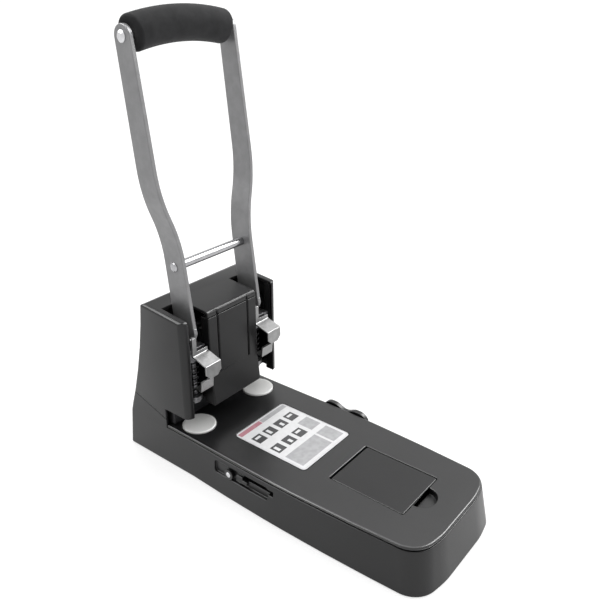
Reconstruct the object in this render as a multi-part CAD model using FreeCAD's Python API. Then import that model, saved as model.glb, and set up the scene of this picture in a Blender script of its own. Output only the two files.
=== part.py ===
import FreeCAD, Part
import math
import os

# Heavy two-hole paper punch worked by a long lever.
# Millimetres, +Z up, +Y towards the back, origin on the desk midway between the two punch axes.

# Paper and holes
hole_spacing = 80.0
paper_margin = 12.0
hole_radius = 3.0
paper_gap = 17.0
punch_clear = 0.15

# Heights of the base
pan_thickness = 3.0
shell_lift = 0.8
deck_height = 40.75
deck_thickness = 2.2
seam_gap = 0.3
edge_chamfer = 1.1

# Outline of the base on the desk and at the deck
foot_rear = 72.5
foot_front = -253.0
foot_half_rear = 62.5
foot_half_front = 61.5
deck_rear = 69.8
deck_front = -246.0
deck_half_rear = 60.3
deck_half_front = 56.5
flank_bow = 3.0
flank_break = -14.0
nose_shoulder = 27.5
nose_set_back = 5.5
nose_round = 80.0
front_corner = 22.0
rear_corner = 3.5
shell_wall = 2.8
pan_rim = 0.6
screw_sink = 0.3

# Tower: rear face at three heights, top edge, and the two lever slots
tower_front = -12.5
tower_bands = 5
tower_mid_height = 99.0
tower_mid_rear = 51.3
tower_high_height = 150.0
tower_high_rear = 41.7
tower_trim = 0.05
tower_top_rear = 158.0
tower_top_front = 153.0
tower_edge_round = 3.4
tower_rear_round = 8.0
tower_front_round = 7.0
slot_inner = 30.5
slot_outer = 53.0
slot_rear = 19.3
slot_return = 1.6
slot_return_depth = 9.2
throat_rear = 18.5
split_front_height = 47.0
split_rear_height = 65.0
split_gap = 0.3

# Centre cover between the slots
cover_stand = 0.4
cover_wall = 2.2
cover_bottom = 60.0
cover_flare = 3.6
cover_flare_height = 30.0
groove_place = 19.0
groove_width = 1.4
groove_depth = 1.0

# Steel C frames, one round each slot
cheek_thickness = 2.0
cheek_front = -3.0
cheek_rear = 34.0
cheek_set = 0.5
cheek_corner = 4.0
head_top_round = 12.0
head_floor = 65.0
head_floor_thickness = 3.0
foot_reach = -20.0
foot_height = 27.0
stop_thickness = 3.0
stop_lift = 0.4
stop_half = 55.5

# Lever pivot and cam
pivot_y = 20.0
pivot_z = 125.0
shaft_radius = 5.0
running_gap = 0.05
cam_base = 17.0
cam_lead = 0.15
cam_sweep = 72.0
cam_overrun = 4.0
cam_gap = 0.1
cam_points = 9
cam_tip_rise = 2.5
eye_radius = 11.0
circlip_thickness = 1.0
circlip_radius = 7.5
circlip_groove = 0.6
shaft_end = 1.5
spacer_radius = 7.2
side_gap = 0.3

# Lever arms
arm_thickness = 4.0
arm_place = 41.0
arm_spread = 13.5
bend_start = 196.0
bend_rise = 80.0
rod_y = 11.0
rod_z = 193.0
rod_radius = 3.2
rod_head_radius = 4.2
rod_head_height = 1.6
rod_collar_radius = 3.9
head_rim_share = 0.35
head_crown_share = 0.6
grip_y = 32.5
grip_z = 374.0
arm_half_low = 12.0
arm_half_top = 9.0
arm_low_rise = 1.0

# Grip
grip_radius = 14.0
grip_rise = 6.5
grip_gap = 4.0
grip_round = 2.0
grip_bands = 6
core_radius = 5.0
core_gap = 0.1
grip_bolt_radius = 3.0
grip_head_radius = 4.6
grip_head_height = 1.8

# Punch pins, carriers, bushes and springs
carrier_height = 12.0
carrier_half_depth = 8.0
carrier_gap = 0.3
bush_flange_radius = 7.0
bush_flange_height = 4.0
bush_radius = 5.0
pin_wall = 0.9
pin_mouth_cut = 2.4
pin_flange_radius = 5.6
pin_flange_height = 2.0
pin_socket = 8.0
spring_radius = 5.0
spring_wire = 0.6
spring_turns = 4
spring_gap = 0.3

# Release clips
clip_thickness = 1.5
clip_bend = 0.8
clip_half = 8.9
clip_strip_inner = -4.0
clip_back = -9.5
clip_shelf_z = 116.4
clip_shelf_front_z = 111.6
clip_front = -25.0
clip_front_low = 100.5
clip_knee_y = -16.5
clip_knee_z = 94.0
clip_heel_y = -15.5
clip_foot_z = 84.5
clip_foot_end = -7.7
clip_top_rise = 0.6
clip_lip_z = 121.0
clip_waist_half = 3.2
clip_taper_z = 104.0
clip_waist_z = 98.5
clip_waist_low_z = 97.0
clip_foot_half = 7.4
clip_foot_top_z = 94.0
hinge_bite = 0.3
hinge_z = 131.5
hinge_pin_radius = 1.0
knuckle_radius = 2.4
ear_radius = 1.7
ear_thickness = 1.8
ear_gap = 0.2

# Cutting discs and their seats
disc_radius = 15.4
disc_offset = 3.0
disc_rise = 1.0
disc_thickness = 4.0
disc_edge = 0.8
disc_ring_gap = 0.5
spigot_radius = 4.0
spigot_length = 6.0
seat_radius = 12.0
seat_gap = 0.15
anvil_front = -19.0
anvil_half = 52.0
anvil_height = 34.0

# Label plate
label_half = 33.0
label_back = -41.0
label_length = 79.0
label_round = 3.5
label_thickness = 0.35
label_gap = 0.3

# Storage hatch and tray
lid_half = 27.0
lid_hinge_y = -144.5
lid_length = 66.5
lid_thickness = 2.3
lid_sink = 0.2
lid_gap = 0.4
lid_rear_gap = 0.8
lid_pin_radius = 1.5
lid_pin_length = 1.8
lid_corner = 2.0
skirt_thickness = 2.0
skirt_depth = 4.0
ledge_reach = 2.4
ledge_width = 7.0
notch_radius = 13.0
notch_depth = 6.0
notch_floor = 1.6
tray_wall = 1.6
tray_floor_z = 6.0
tray_foot_radius = 3.0
tray_foot_inset = 8.0

# Side guide
guide_front = -118.0
guide_back = -69.0
guide_bar_front = -110.0
guide_bar_back = -77.0
guide_bar_low = 27.5
guide_bar_thickness = 4.0
guide_bar_end_gap = 0.9
guide_gap = 0.4
guide_slide_gap = 0.3
notch_count = 9
notch_pitch = 10.0
detent_radius = 1.2
channel_wall = 2.0
channel_end_gap = 3.4
plate_low = 20.0
plate_high = 43.5
plate_thickness = 4.6
plate_gap = 0.5
plate_round = 9.0
plate_split = 3.0
plate_split_depth = 5.0

# Guide lock and its recess in the left flank
recess_back = -43.5
recess_front = -105.0
recess_low = 21.0
recess_high = 33.0
recess_depth = 4.0
recess_round = 3.0
lock_y = -61.0
lock_z = 26.0
lock_radius = 4.7
lock_stand = 3.4
lock_stem_radius = 2.2
lock_travel = 1.5
leaf_x = -46.7
leaf_thickness = 0.8
block_back = -69.5
block_front = -82.0

# Case screws and bosses
boss_radius = 4.2
boss_top = 33.0
screw_radius = 1.6
screw_head_radius = 3.2
screw_head_height = 2.0
screw_length = 16.0
boss_inset = 7.5
boss_rear_inset = 14.0
boss_front_inset = 24.0
boss_mid_y = -132.0

overrun = 40.0
punch_x = hole_spacing / 2.0
stroke = math.radians(cam_sweep) * cam_base
sides = (-1.0, 1.0)


def vec(x, y, z):
    return FreeCAD.Vector(x, y, z)


def box(x0, x1, y0, y1, z0, z1):
    return Part.makeBox(x1 - x0, y1 - y0, z1 - z0, vec(x0, y0, z0))


def rod(radius, start, end):
    axis = end.sub(start)
    return Part.makeCylinder(radius, axis.Length, start, axis)


def arc_edge(start, middle, end):
    return Part.Arc(start, middle, end).toShape()


def rounded_wire(corners, place, bows=None):
    """Closed wire through corners (a, b, radius); place maps a, b to space, bows are side sagittas."""
    count = len(corners)
    bows = bows or [0.0] * count
    entries = []
    exits = []
    middles = []
    for i, (a, b, radius) in enumerate(corners):
        here = FreeCAD.Vector(a, b, 0)
        before = FreeCAD.Vector(*corners[i - 1][:2], 0).sub(here).normalize()
        after = FreeCAD.Vector(*corners[(i + 1) % count][:2], 0).sub(here).normalize()
        half = before.getAngle(after) / 2.0
        reach = radius / math.tan(half)
        bisector = before.add(after)
        if radius > 0:
            bisector.normalize()
            middle = here.add(bisector.multiply(radius / math.sin(half) - radius))
        else:
            middle = here
        entries.append(here.add(before.multiply(reach)))
        exits.append(here.add(after.multiply(reach)))
        middles.append(middle)
    edges = []
    for i in range(count):
        following = (i + 1) % count
        if corners[i][2] > 0:
            edges.append(arc_edge(place(entries[i]), place(middles[i]), place(exits[i])))
        start = exits[i]
        end = entries[following]
        if bows[i]:
            side = end.sub(start)
            outward = FreeCAD.Vector(side.y, -side.x, 0).normalize()
            top = start.add(side.multiply(0.5)).add(outward.multiply(bows[i]))
            edges.append(arc_edge(place(start), place(top), place(end)))
        else:
            edges.append(Part.LineSegment(place(start), place(end)).toShape())
    return Part.Wire(edges)


def flat(z):
    return lambda p: vec(p.x, p.y, z)


def upright(x):
    return lambda p: vec(x, p.x, p.y)


def facing(y):
    return lambda p: vec(p.x, y, p.y)


def plate_yz(corners, x0, x1):
    """Prism along X of an outline given as (y, z, radius) corners."""
    face = Part.Face(rounded_wire(corners, upright(x0)))
    return face.extrude(vec(x1 - x0, 0, 0))


def plate_xz(corners, y0, y1):
    """Prism along Y of an outline given as (x, z, radius) corners."""
    face = Part.Face(rounded_wire(corners, facing(y0)))
    return face.extrude(vec(0, y1 - y0, 0))


def plate_xy(corners, z0, z1, bows=None):
    """Prism along Z of an outline given as (x, y, radius) corners."""
    face = Part.Face(rounded_wire(corners, flat(z0), bows))
    return face.extrude(vec(0, 0, z1 - z0))


def fused(shapes):
    joined = shapes[0].multiFuse(shapes[1:]) if len(shapes) > 1 else shapes[0]
    return joined.removeSplitter()


def mirrored(shape):
    return shape.mirror(vec(0, 0, 0), vec(1, 0, 0))


def write(name, shapes):
    solids = []
    for shape in shapes if isinstance(shapes, list) else [shapes]:
        solids.extend(shape.Solids)
    model = solids[0] if len(solids) == 1 else Part.makeCompound(solids)
    model.exportStep(os.path.join("parts", name + ".step"))
    print(name, len(solids), "valid" if model.isValid() else "NOT VALID", round(model.Volume, 1))


# Outline of the base at a height between the desk and the deck

shell_top = deck_height - deck_thickness - seam_gap


def share_of_height(z):
    return (z - shell_lift) / (deck_height - shell_lift)


def between(low, high, share):
    return low + (high - low) * share


def tightened(radius, inset):
    """Radius of a corner this far inside another; past its centre the corner is sharp."""
    return max(radius - inset, 0.0)


def base_half(z, rear=True):
    if rear:
        return between(foot_half_rear, deck_half_rear, share_of_height(z))
    return between(foot_half_front, deck_half_front, share_of_height(z))


def plan_corners(front, half_front, rear, half_rear, rear_radius, inset):
    """Corners of the base in plan; the front edge is blunt, with a flat middle and round shoulders."""
    half_nose = deck_half_front - nose_shoulder - inset
    half_front = half_front - inset
    half_rear = half_rear - inset
    nose = front + inset
    shoulder = nose + nose_set_back
    return [
        (-half_nose, nose, nose_round),
        (half_nose, nose, nose_round),
        (half_front, shoulder, tightened(front_corner, inset)),
        (half_rear, flank_break, 0.0),
        (half_rear, rear - inset, rear_radius),
        (-half_rear, rear - inset, rear_radius),
        (-half_rear, flank_break, 0.0),
        (-half_front, shoulder, tightened(front_corner, inset)),
    ]


def base_corners(z, inset):
    share = share_of_height(z)
    return plan_corners(
        between(foot_front, deck_front, share), base_half(z, False),
        between(foot_rear, deck_rear, share), base_half(z), tightened(rear_corner, inset), inset,
    )


base_bows = [0.0, 0.0, flank_bow, 0.0, 0.0, 0.0, flank_bow, 0.0]


def base_form(z0, z1, inset):
    low = rounded_wire(base_corners(z0, inset), flat(z0), base_bows)
    high = rounded_wire(base_corners(z1, inset), flat(z1), base_bows)
    return Part.makeLoft([low, high], True, True)


# Tower form: curved rear in narrow bands, rounded top edges

def tower_rear_at(z):
    """Rear face of the tower by height: the parabola through three places of its side view."""
    low = shell_top
    mid = tower_mid_height
    high = tower_high_height
    low_rear = between(foot_rear, deck_rear, share_of_height(low))
    return (
        low_rear * (z - mid) * (z - high) / ((low - mid) * (low - high))
        + tower_mid_rear * (z - low) * (z - high) / ((mid - low) * (mid - high))
        + tower_high_rear * (z - low) * (z - mid) / ((high - low) * (high - mid))
    )


def tower_section(z, inset):
    half = base_half(shell_top) - inset
    front = tower_front + inset
    rear = tower_rear_at(z) - inset
    return rounded_wire([
        (-half, front, tightened(tower_front_round, inset)),
        (half, front, tightened(tower_front_round, inset)),
        (half, rear, tightened(rear_corner, inset)),
        (-half, rear, tightened(rear_corner, inset)),
    ], flat(z))


def tower_bulk(inset):
    top = tower_top_rear + shell_wall
    levels = [between(shell_top, top, i / tower_bands) for i in range(tower_bands + 1)]
    return Part.makeLoft([tower_section(z, inset) for z in levels], True, True)


def tower_form(inset):
    """Tower with its sloping top and rounded top edges."""
    half = base_half(shell_top)
    top_front = tower_top_front - inset
    top_rear = tower_top_rear - inset
    back = tower_high_rear + tower_edge_round - inset
    ahead = tower_front + inset
    side = plate_yz([
        (ahead, shell_top, 0.0),
        (foot_rear + overrun, shell_top, 0.0),
        (foot_rear + overrun, tower_mid_height, 0.0),
        (back, tower_high_height, 0.0),
        (tower_high_rear - tower_edge_round - inset, top_rear, tower_rear_round),
        (ahead, top_front, tower_edge_round),
    ], -half - overrun, half + overrun)
    slope = (tower_top_rear - tower_top_front) / (tower_high_rear - tower_edge_round - tower_front)
    along = vec(0, 1, slope).normalize()
    run = foot_rear - tower_front + 2 * overrun
    start = vec(0, ahead, top_front + tower_trim).sub(along * overrun)
    half = half - tower_trim - inset
    hood = Part.Face(rounded_wire([
        (-half, -tower_top_rear, 0.0),
        (half, -tower_top_rear, 0.0),
        (half, 0.0, tower_edge_round),
        (-half, 0.0, tower_edge_round),
    ], lambda p: vec(p.x, start.y - p.y * along.z, start.z + p.y * along.y))).extrude(along * run)
    return tower_bulk(inset).common(side).common(hood)


def above_split(gap):
    """Wedge above the slanted parting line of the housing."""
    run = foot_rear - throat_rear
    slope = (split_rear_height - split_front_height) / run
    front_y = throat_rear - overrun
    rear_y = foot_rear + overrun
    return plate_yz([
        (front_y, split_front_height - overrun * slope + gap, 0.0),
        (rear_y, split_rear_height + overrun * slope + gap, 0.0),
        (rear_y, tower_top_rear + overrun, 0.0),
        (front_y, tower_top_rear + overrun, 0.0),
    ], -foot_half_rear - overrun, foot_half_rear + overrun)


def wide_box(y0, y1, z0, z1):
    half = foot_half_rear + overrun
    return box(-half, half, y0, y1, z0, z1)


# Places shared by several pieces

disc_top = deck_height + disc_rise
throat_top = deck_height + paper_gap
pin_tip = disc_top + punch_clear + stroke
contact_z = pivot_z - cam_base * cam_lead
carrier_top = contact_z - cam_gap
carrier_bottom = carrier_top - carrier_height
bush_top = head_floor + head_floor_thickness + bush_flange_height
pin_flange_low = carrier_bottom - pin_flange_height
hinge_y = clip_back + knuckle_radius - hinge_bite
lid_top = deck_height - lid_sink
lid_axis_z = lid_top - lid_thickness - seam_gap
lid_knuckle = lid_top - lid_axis_z
lid_front = lid_hinge_y - lid_length
hatch_rear = lid_hinge_y + lid_knuckle + lid_rear_gap
hatch_front = lid_front - lid_gap
hatch_half = lid_half + lid_gap
skirt_low = deck_height - deck_thickness - skirt_depth
frame_floor = pan_thickness
slot_inner_face = slot_inner + cheek_set
leg_front = paper_margin + stop_thickness
arm_low_z = pivot_z + eye_radius + arm_low_rise
clip_top_z = hinge_z + knuckle_radius + clip_top_rise


# Housing

recess_floor = -base_half(lock_z) - flank_bow + recess_depth
guide_bar_end = recess_floor + shell_wall + guide_bar_end_gap
channel_half = -guide_bar_end - channel_end_gap + guide_bar_end_gap


def guide_window(gap):
    """Opening that the guide bar runs through, from flank to flank."""
    return wide_box(
        guide_bar_front - gap, guide_bar_back + gap,
        guide_bar_low - gap, guide_bar_low + guide_bar_thickness + gap,
    )


def boss_places():
    places = []
    inset = shell_wall + boss_inset
    for side in sides:
        places.append((side * (deck_half_rear - inset), deck_rear - boss_rear_inset))
        places.append((side * (deck_half_front - inset), boss_mid_y))
        places.append((side * (deck_half_front - inset), deck_front + boss_front_inset))
    return places


def screw_boss(x, y):
    """Round post with a rib that ties it to the nearest flank."""
    post = rod(boss_radius, vec(x, y, frame_floor), vec(x, y, boss_top))
    flank = math.copysign(foot_half_rear + flank_bow, x)
    rib = box(min(x, flank), max(x, flank), y - screw_radius, y + screw_radius, frame_floor, boss_top)
    return post.fuse(rib.common(base_form(shell_lift, shell_top, shell_wall / 2.0)))


def lock_recess():
    """Pocket in the left flank round the lock button and a raised block."""
    outer = -foot_half_rear - overrun
    pocket = plate_yz([
        (recess_front, recess_low, recess_round),
        (recess_back, recess_low, recess_round),
        (recess_back, recess_high, recess_round),
        (recess_front, recess_high, recess_round),
    ], outer, recess_floor)
    block = box(
        outer, recess_floor, block_front, block_back,
        recess_low + recess_round, recess_high - recess_round,
    )
    return pocket.cut(block)


def lower_shell():
    solid_base = base_form(shell_lift, shell_top, 0.0)
    hollow = base_form(shell_lift, shell_top, shell_wall)
    walls = solid_base.cut(hollow)
    rear = tower_bulk(0.0).cut(tower_bulk(shell_wall)).cut(above_split(-split_gap / 2.0))
    rear = rear.cut(wide_box(tower_front - overrun, throat_rear, 0.0, tower_top_rear))
    backing = box(
        recess_floor - overrun, recess_floor + shell_wall,
        recess_front - shell_wall, recess_back + shell_wall,
        recess_low - shell_wall, skirt_low - seam_gap,
    ).common(solid_base)
    shell = fused([walls, rear, backing] + [screw_boss(x, y) for x, y in boss_places()])
    for x, y in boss_places():
        shell = shell.cut(rod(screw_radius, vec(x, y, 0.0), vec(x, y, boss_top - screw_radius)))
    stem = rod(
        lock_stem_radius + running_gap,
        vec(recess_floor - overrun, lock_y, lock_z), vec(recess_floor + overrun, lock_y, lock_z),
    )
    return shell.cut(lock_recess()).cut(guide_window(guide_gap)).cut(stem)


def tower_cover():
    outer = tower_form(0.0)
    inner = tower_form(shell_wall)
    for side in sides:
        lip = box(
            slot_outer, slot_outer + slot_return,
            tower_front, tower_front + slot_return_depth, throat_top, tower_top_front - shell_wall,
        )
        inner = inner.cut(lip if side > 0 else mirrored(lip))
    shell = outer.cut(inner).common(above_split(split_gap / 2.0))
    shell = shell.cut(wide_box(tower_front - overrun, throat_rear, 0.0, throat_top))
    for side in sides:
        slot = box(slot_inner, slot_outer, tower_front - overrun, slot_rear, 0.0, tower_top_rear + overrun)
        shell = shell.cut(slot if side > 0 else mirrored(slot))
    front_gap = box(
        -slot_inner - seam_gap, slot_inner + seam_gap, tower_front - overrun, tower_front + 2 * shell_wall,
        0.0, tower_top_front - 2 * shell_wall,
    )
    return shell.cut(front_gap).cut(cover_grooves())


def cover_grooves():
    cuts = [
        box(
            side * groove_place - groove_width / 2.0, side * groove_place + groove_width / 2.0,
            tower_front - cover_stand - overrun, tower_front - cover_stand + groove_depth,
            cover_bottom + cover_flare_height, tower_top_front + overrun,
        )
        for side in sides
    ]
    return cuts[0].fuse(cuts[1])


def centre_cover():
    """Front panel with returns at its sides and a foot that flares towards the paper."""
    front = tower_front - cover_stand
    top = tower_top_front - 2 * shell_wall - seam_gap
    flare_top = cover_bottom + cover_flare_height
    depth = cheek_front - seam_gap
    profile = [
        (depth, cover_bottom, 0.0),
        (depth, top, 0.0),
        (front, top, 0.0),
        (front, flare_top, cover_flare_height),
        (front - cover_flare, cover_bottom, cover_wall),
    ]
    outer = plate_yz(profile, -slot_inner, slot_inner)
    inner = plate_yz([
        (depth + overrun, cover_bottom - overrun, 0.0),
        (depth + overrun, top + overrun, 0.0),
        (front + cover_wall, top + overrun, 0.0),
        (front + cover_wall, flare_top, cover_flare_height),
        (front - cover_flare + cover_wall, cover_bottom, 0.0),
        (front - cover_flare + cover_wall, cover_bottom - overrun, 0.0),
    ], -slot_inner + cover_wall, slot_inner - cover_wall)
    return outer.cut(inner).cut(cover_grooves())


# Deck

def deck_plan(inset):
    return plan_corners(deck_front, deck_half_front, throat_rear - seam_gap + inset, deck_half_rear, 0.0, inset)


def deck_outline(inset, z0, z1):
    return Part.Face(rounded_wire(deck_plan(inset), flat(z0), base_bows)).extrude(vec(0, 0, z1 - z0))


def deck_rim():
    """Deck slab whose upper edge is bevelled all round."""
    shoulder = deck_height - edge_chamfer
    slab = deck_outline(0.0, deck_height - deck_thickness, shoulder)
    bevel = Part.makeLoft([
        rounded_wire(deck_plan(0.0), flat(shoulder), base_bows),
        rounded_wire(deck_plan(edge_chamfer), flat(deck_height), base_bows),
    ], True, True)
    return slab.fuse(bevel)


def hatch_cut():
    return plate_xy([
        (-hatch_half, hatch_front, lid_corner),
        (hatch_half, hatch_front, lid_corner),
        (hatch_half, hatch_rear, lid_corner / 2.0),
        (-hatch_half, hatch_rear, lid_corner / 2.0),
    ], skirt_low - overrun, deck_height + overrun)


def hatch_skirt():
    grow = skirt_thickness
    return box(
        -hatch_half - grow, hatch_half + grow, hatch_front - grow, hatch_rear + grow,
        skirt_low, deck_height - deck_thickness / 2.0,
    )


def lid_pins(radius, length):
    reach = lid_half + length
    return rod(radius, vec(-reach, lid_hinge_y, lid_axis_z), vec(reach, lid_hinge_y, lid_axis_z))


def thumb_notch(radius, floor, top):
    bowl = rod(radius, vec(0, hatch_front, floor), vec(0, hatch_front, top))
    return bowl.cut(wide_box(hatch_front, throat_rear, floor - overrun, top + overrun))


def deck_cover():
    underside = deck_height - deck_thickness
    inset = shell_wall + seam_gap
    skirt = deck_outline(inset, skirt_low, deck_height - deck_thickness / 2.0)
    skirt = skirt.cut(deck_outline(inset + skirt_thickness, skirt_low, deck_height))
    skirt = skirt.cut(wide_box(tower_front, throat_rear, 0.0, underside))
    notch_bottom = deck_height - notch_depth
    cup = thumb_notch(notch_radius + notch_floor, notch_bottom - notch_floor, underside)
    deck = fused([deck_rim(), skirt, hatch_skirt(), cup])
    deck = deck.cut(hatch_cut()).cut(thumb_notch(notch_radius, notch_bottom, deck_height + overrun))
    ledge = box(
        -lid_half, -lid_half + ledge_width, hatch_front - skirt_thickness / 2.0, hatch_front + ledge_reach,
        skirt_low, lid_top - lid_thickness - seam_gap,
    )
    deck = fused([deck, ledge, mirrored(ledge)])
    deck = deck.cut(lid_pins(lid_pin_radius + running_gap, lid_pin_length + seam_gap))
    frame_half = slot_outer + cheek_thickness + seam_gap
    deck = deck.cut(box(
        -frame_half, frame_half, leg_front - seam_gap, throat_rear, skirt_low - overrun, deck_height + overrun,
    ))
    for side in sides:
        deck = deck.cut(rod(
            disc_radius + disc_ring_gap,
            vec(side * punch_x, -disc_offset, skirt_low - overrun),
            vec(side * punch_x, -disc_offset, deck_height + overrun),
        ))
    return deck.cut(label_form(label_gap, label_thickness + label_gap / 2.0))


def label_form(grow, depth):
    half = label_half + grow
    back = label_back + grow
    front = label_back - label_length - grow
    return plate_xy([
        (-half, front, label_round),
        (half, front, label_round),
        (half, back, label_round),
        (-half, back, label_round),
    ], deck_height - depth, deck_height - depth + label_thickness + (overrun if grow else 0.0))


def hatch_lid():
    panel = plate_xy([
        (-lid_half, lid_front, lid_corner),
        (lid_half, lid_front, lid_corner),
        (lid_half, lid_hinge_y, 0.0),
        (-lid_half, lid_hinge_y, 0.0),
    ], lid_top - lid_thickness, lid_top)
    knuckle = rod(lid_knuckle, vec(-lid_half, lid_hinge_y, lid_axis_z), vec(lid_half, lid_hinge_y, lid_axis_z))
    return fused([panel, knuckle, lid_pins(lid_pin_radius, lid_pin_length)])


def storage_tray():
    half = hatch_half + skirt_thickness
    front = hatch_front - skirt_thickness
    rear = hatch_rear + skirt_thickness
    outer = plate_xy([
        (-half, front, lid_corner), (half, front, lid_corner), (half, rear, lid_corner), (-half, rear, lid_corner),
    ], tray_floor_z, skirt_low)
    inner = plate_xy([
        (-half + tray_wall, front + tray_wall, lid_corner / 2.0),
        (half - tray_wall, front + tray_wall, lid_corner / 2.0),
        (half - tray_wall, rear - tray_wall, lid_corner / 2.0),
        (-half + tray_wall, rear - tray_wall, lid_corner / 2.0),
    ], tray_floor_z + tray_wall, skirt_low + overrun)
    cup_low = deck_height - notch_depth - notch_floor
    cup_room = rod(
        notch_radius + notch_floor + seam_gap, vec(0, hatch_front, cup_low - seam_gap), vec(0, hatch_front, deck_height),
    )
    feet = [
        rod(tray_foot_radius, vec(x, y, pan_thickness), vec(x, y, tray_floor_z + tray_wall / 2.0))
        for x in (-half / 2.0, half / 2.0) for y in (front + tray_foot_inset, rear - tray_foot_inset)
    ]
    return fused([outer.cut(inner).cut(cup_room)] + feet)


def base_pan():
    """Bottom plate: a rim that stands on the desk and a plug inside the shell."""
    rim = rounded_wire(base_corners(shell_lift, edge_chamfer), flat(0.0), base_bows)
    plug = rounded_wire(base_corners(pan_thickness, shell_wall + seam_gap), flat(0.0), base_bows)
    pan = fused([
        Part.Face(rim).extrude(vec(0, 0, pan_rim)),
        Part.Face(plug).extrude(vec(0, 0, pan_thickness)),
    ])
    for x, y in boss_places():
        pan = pan.cut(rod(screw_radius + seam_gap, vec(x, y, 0.0), vec(x, y, pan_thickness)))
        pan = pan.cut(rod(screw_head_radius + seam_gap, vec(x, y, 0.0), vec(x, y, screw_head_height)))
    return pan


def case_screws():
    screws = []
    for x, y in boss_places():
        head = rod(screw_head_radius, vec(x, y, screw_sink), vec(x, y, screw_head_height))
        shank = rod(screw_radius - running_gap, vec(x, y, screw_head_height), vec(x, y, screw_length))
        screws.append(head.fuse(shank))
    return screws


# Steel frames, stop and seats

def side_frame():
    """C shaped bracket round the right slot: two cheeks, a back web, a head floor and a foot."""
    outline = [
        (foot_reach, frame_floor, 0.0),
        (cheek_rear, frame_floor, 0.0),
        (cheek_rear, pivot_z + head_top_round, head_top_round),
        (cheek_front, pivot_z + head_top_round, head_top_round),
        (cheek_front, head_floor, 0.0),
        (leg_front, head_floor, cheek_corner),
        (leg_front, frame_floor + foot_height, cheek_corner),
        (foot_reach, frame_floor + foot_height, 0.0),
    ]
    inner_cheek = plate_yz(outline, slot_inner_face - cheek_thickness, slot_inner_face)
    outer_cheek = plate_yz(outline, slot_outer, slot_outer + cheek_thickness)
    web = box(
        slot_inner_face - cheek_thickness, slot_outer + cheek_thickness,
        cheek_rear - cheek_thickness, cheek_rear, frame_floor, pivot_z - head_top_round,
    )
    floor = box(slot_inner_face, slot_outer, cheek_front, cheek_rear, head_floor, head_floor + head_floor_thickness)
    sole = box(slot_inner_face, slot_outer, foot_reach, cheek_rear, frame_floor, frame_floor + cheek_thickness)
    frame = fused([inner_cheek, outer_cheek, web, floor, sole])
    frame = frame.cut(rod(bush_radius + running_gap, vec(punch_x, 0, 0), vec(punch_x, 0, pivot_z)))
    pivot_hole = rod(
        shaft_radius + running_gap,
        vec(0, pivot_y, pivot_z), vec(slot_outer + overrun, pivot_y, pivot_z),
    )
    return frame.cut(pivot_hole)


def paper_stop():
    return box(
        -stop_half, stop_half, paper_margin, leg_front, disc_top + stop_lift, head_floor - cheek_corner,
    )


def anvil_bar():
    bar = box(-anvil_half, anvil_half, anvil_front, leg_front - cheek_corner, frame_floor + foot_height, anvil_height)
    for side in sides:
        centre = side * punch_x
        top = disc_top - disc_thickness - seat_gap
        bar = bar.fuse(rod(seat_radius, vec(centre, -disc_offset, anvil_height), vec(centre, -disc_offset, top)))
        bar = bar.cut(rod(
            spigot_radius + running_gap,
            vec(centre, -disc_offset, top - spigot_length - seam_gap), vec(centre, -disc_offset, top + overrun),
        ))
    return bar.removeSplitter()


def cutting_disc(side):
    centre = side * punch_x
    low = disc_top - disc_thickness
    body = rod(disc_radius, vec(centre, -disc_offset, low), vec(centre, -disc_offset, disc_top))
    rim = [edge for edge in body.Edges if abs(edge.BoundBox.ZMin - disc_top) < seam_gap and edge.isClosed()]
    body = body.makeChamfer(disc_edge, rim)
    spigot = rod(
        spigot_radius, vec(centre, -disc_offset, low - spigot_length), vec(centre, -disc_offset, low + disc_edge),
    )
    return fused([body, spigot])


def guide_bush(side):
    x = side * punch_x
    floor_top = head_floor + head_floor_thickness
    bush = fused([
        rod(bush_radius, vec(x, 0, head_floor), vec(x, 0, floor_top)),
        rod(bush_flange_radius, vec(x, 0, floor_top), vec(x, 0, bush_top)),
    ])
    return bush.cut(rod(hole_radius + running_gap, vec(x, 0, 0), vec(x, 0, pivot_z)))


# Lever

def involute_point(turn):
    """Point of the cam, with the lever at rest, that touches the carrier after this turn."""
    y = -cam_base
    z = -cam_base * (cam_lead + turn)
    back = math.cos(turn), math.sin(turn)
    return vec(0, pivot_y + y * back[0] + z * back[1], pivot_z - y * back[1] + z * back[0])


def cam_nose(x0, x1):
    """Involute face from the first contact to past the last one, closed on the pivot."""
    steps = cam_points - 1
    last = math.radians(cam_sweep + cam_overrun)
    points = [involute_point(last * i / steps) for i in range(cam_points)]
    shift = vec(x0, 0, 0)
    points = [p.add(shift) for p in points]
    curve = Part.BSplineCurve()
    curve.interpolate(points)
    hub = vec(x0, pivot_y, pivot_z)
    back = vec(x0, arm_line_y(arm_low_z) + arm_half_low, arm_low_z)
    tip_top = vec(x0, arm_line_y(arm_low_z) - arm_half_low, arm_low_z + cam_tip_rise)
    edges = [
        curve.toShape(),
        Part.LineSegment(points[-1], tip_top).toShape(),
        Part.LineSegment(tip_top, back).toShape(),
        Part.LineSegment(back, hub).toShape(),
        Part.LineSegment(hub, points[0]).toShape(),
    ]
    return Part.Face(Part.Wire(edges)).extrude(vec(x1 - x0, 0, 0))


def arm_line_y(z):
    """Middle line of the arm in side view, through the cross rod and the grip."""
    return between(rod_y, grip_y, (z - rod_z) / (grip_z - rod_z))


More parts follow.
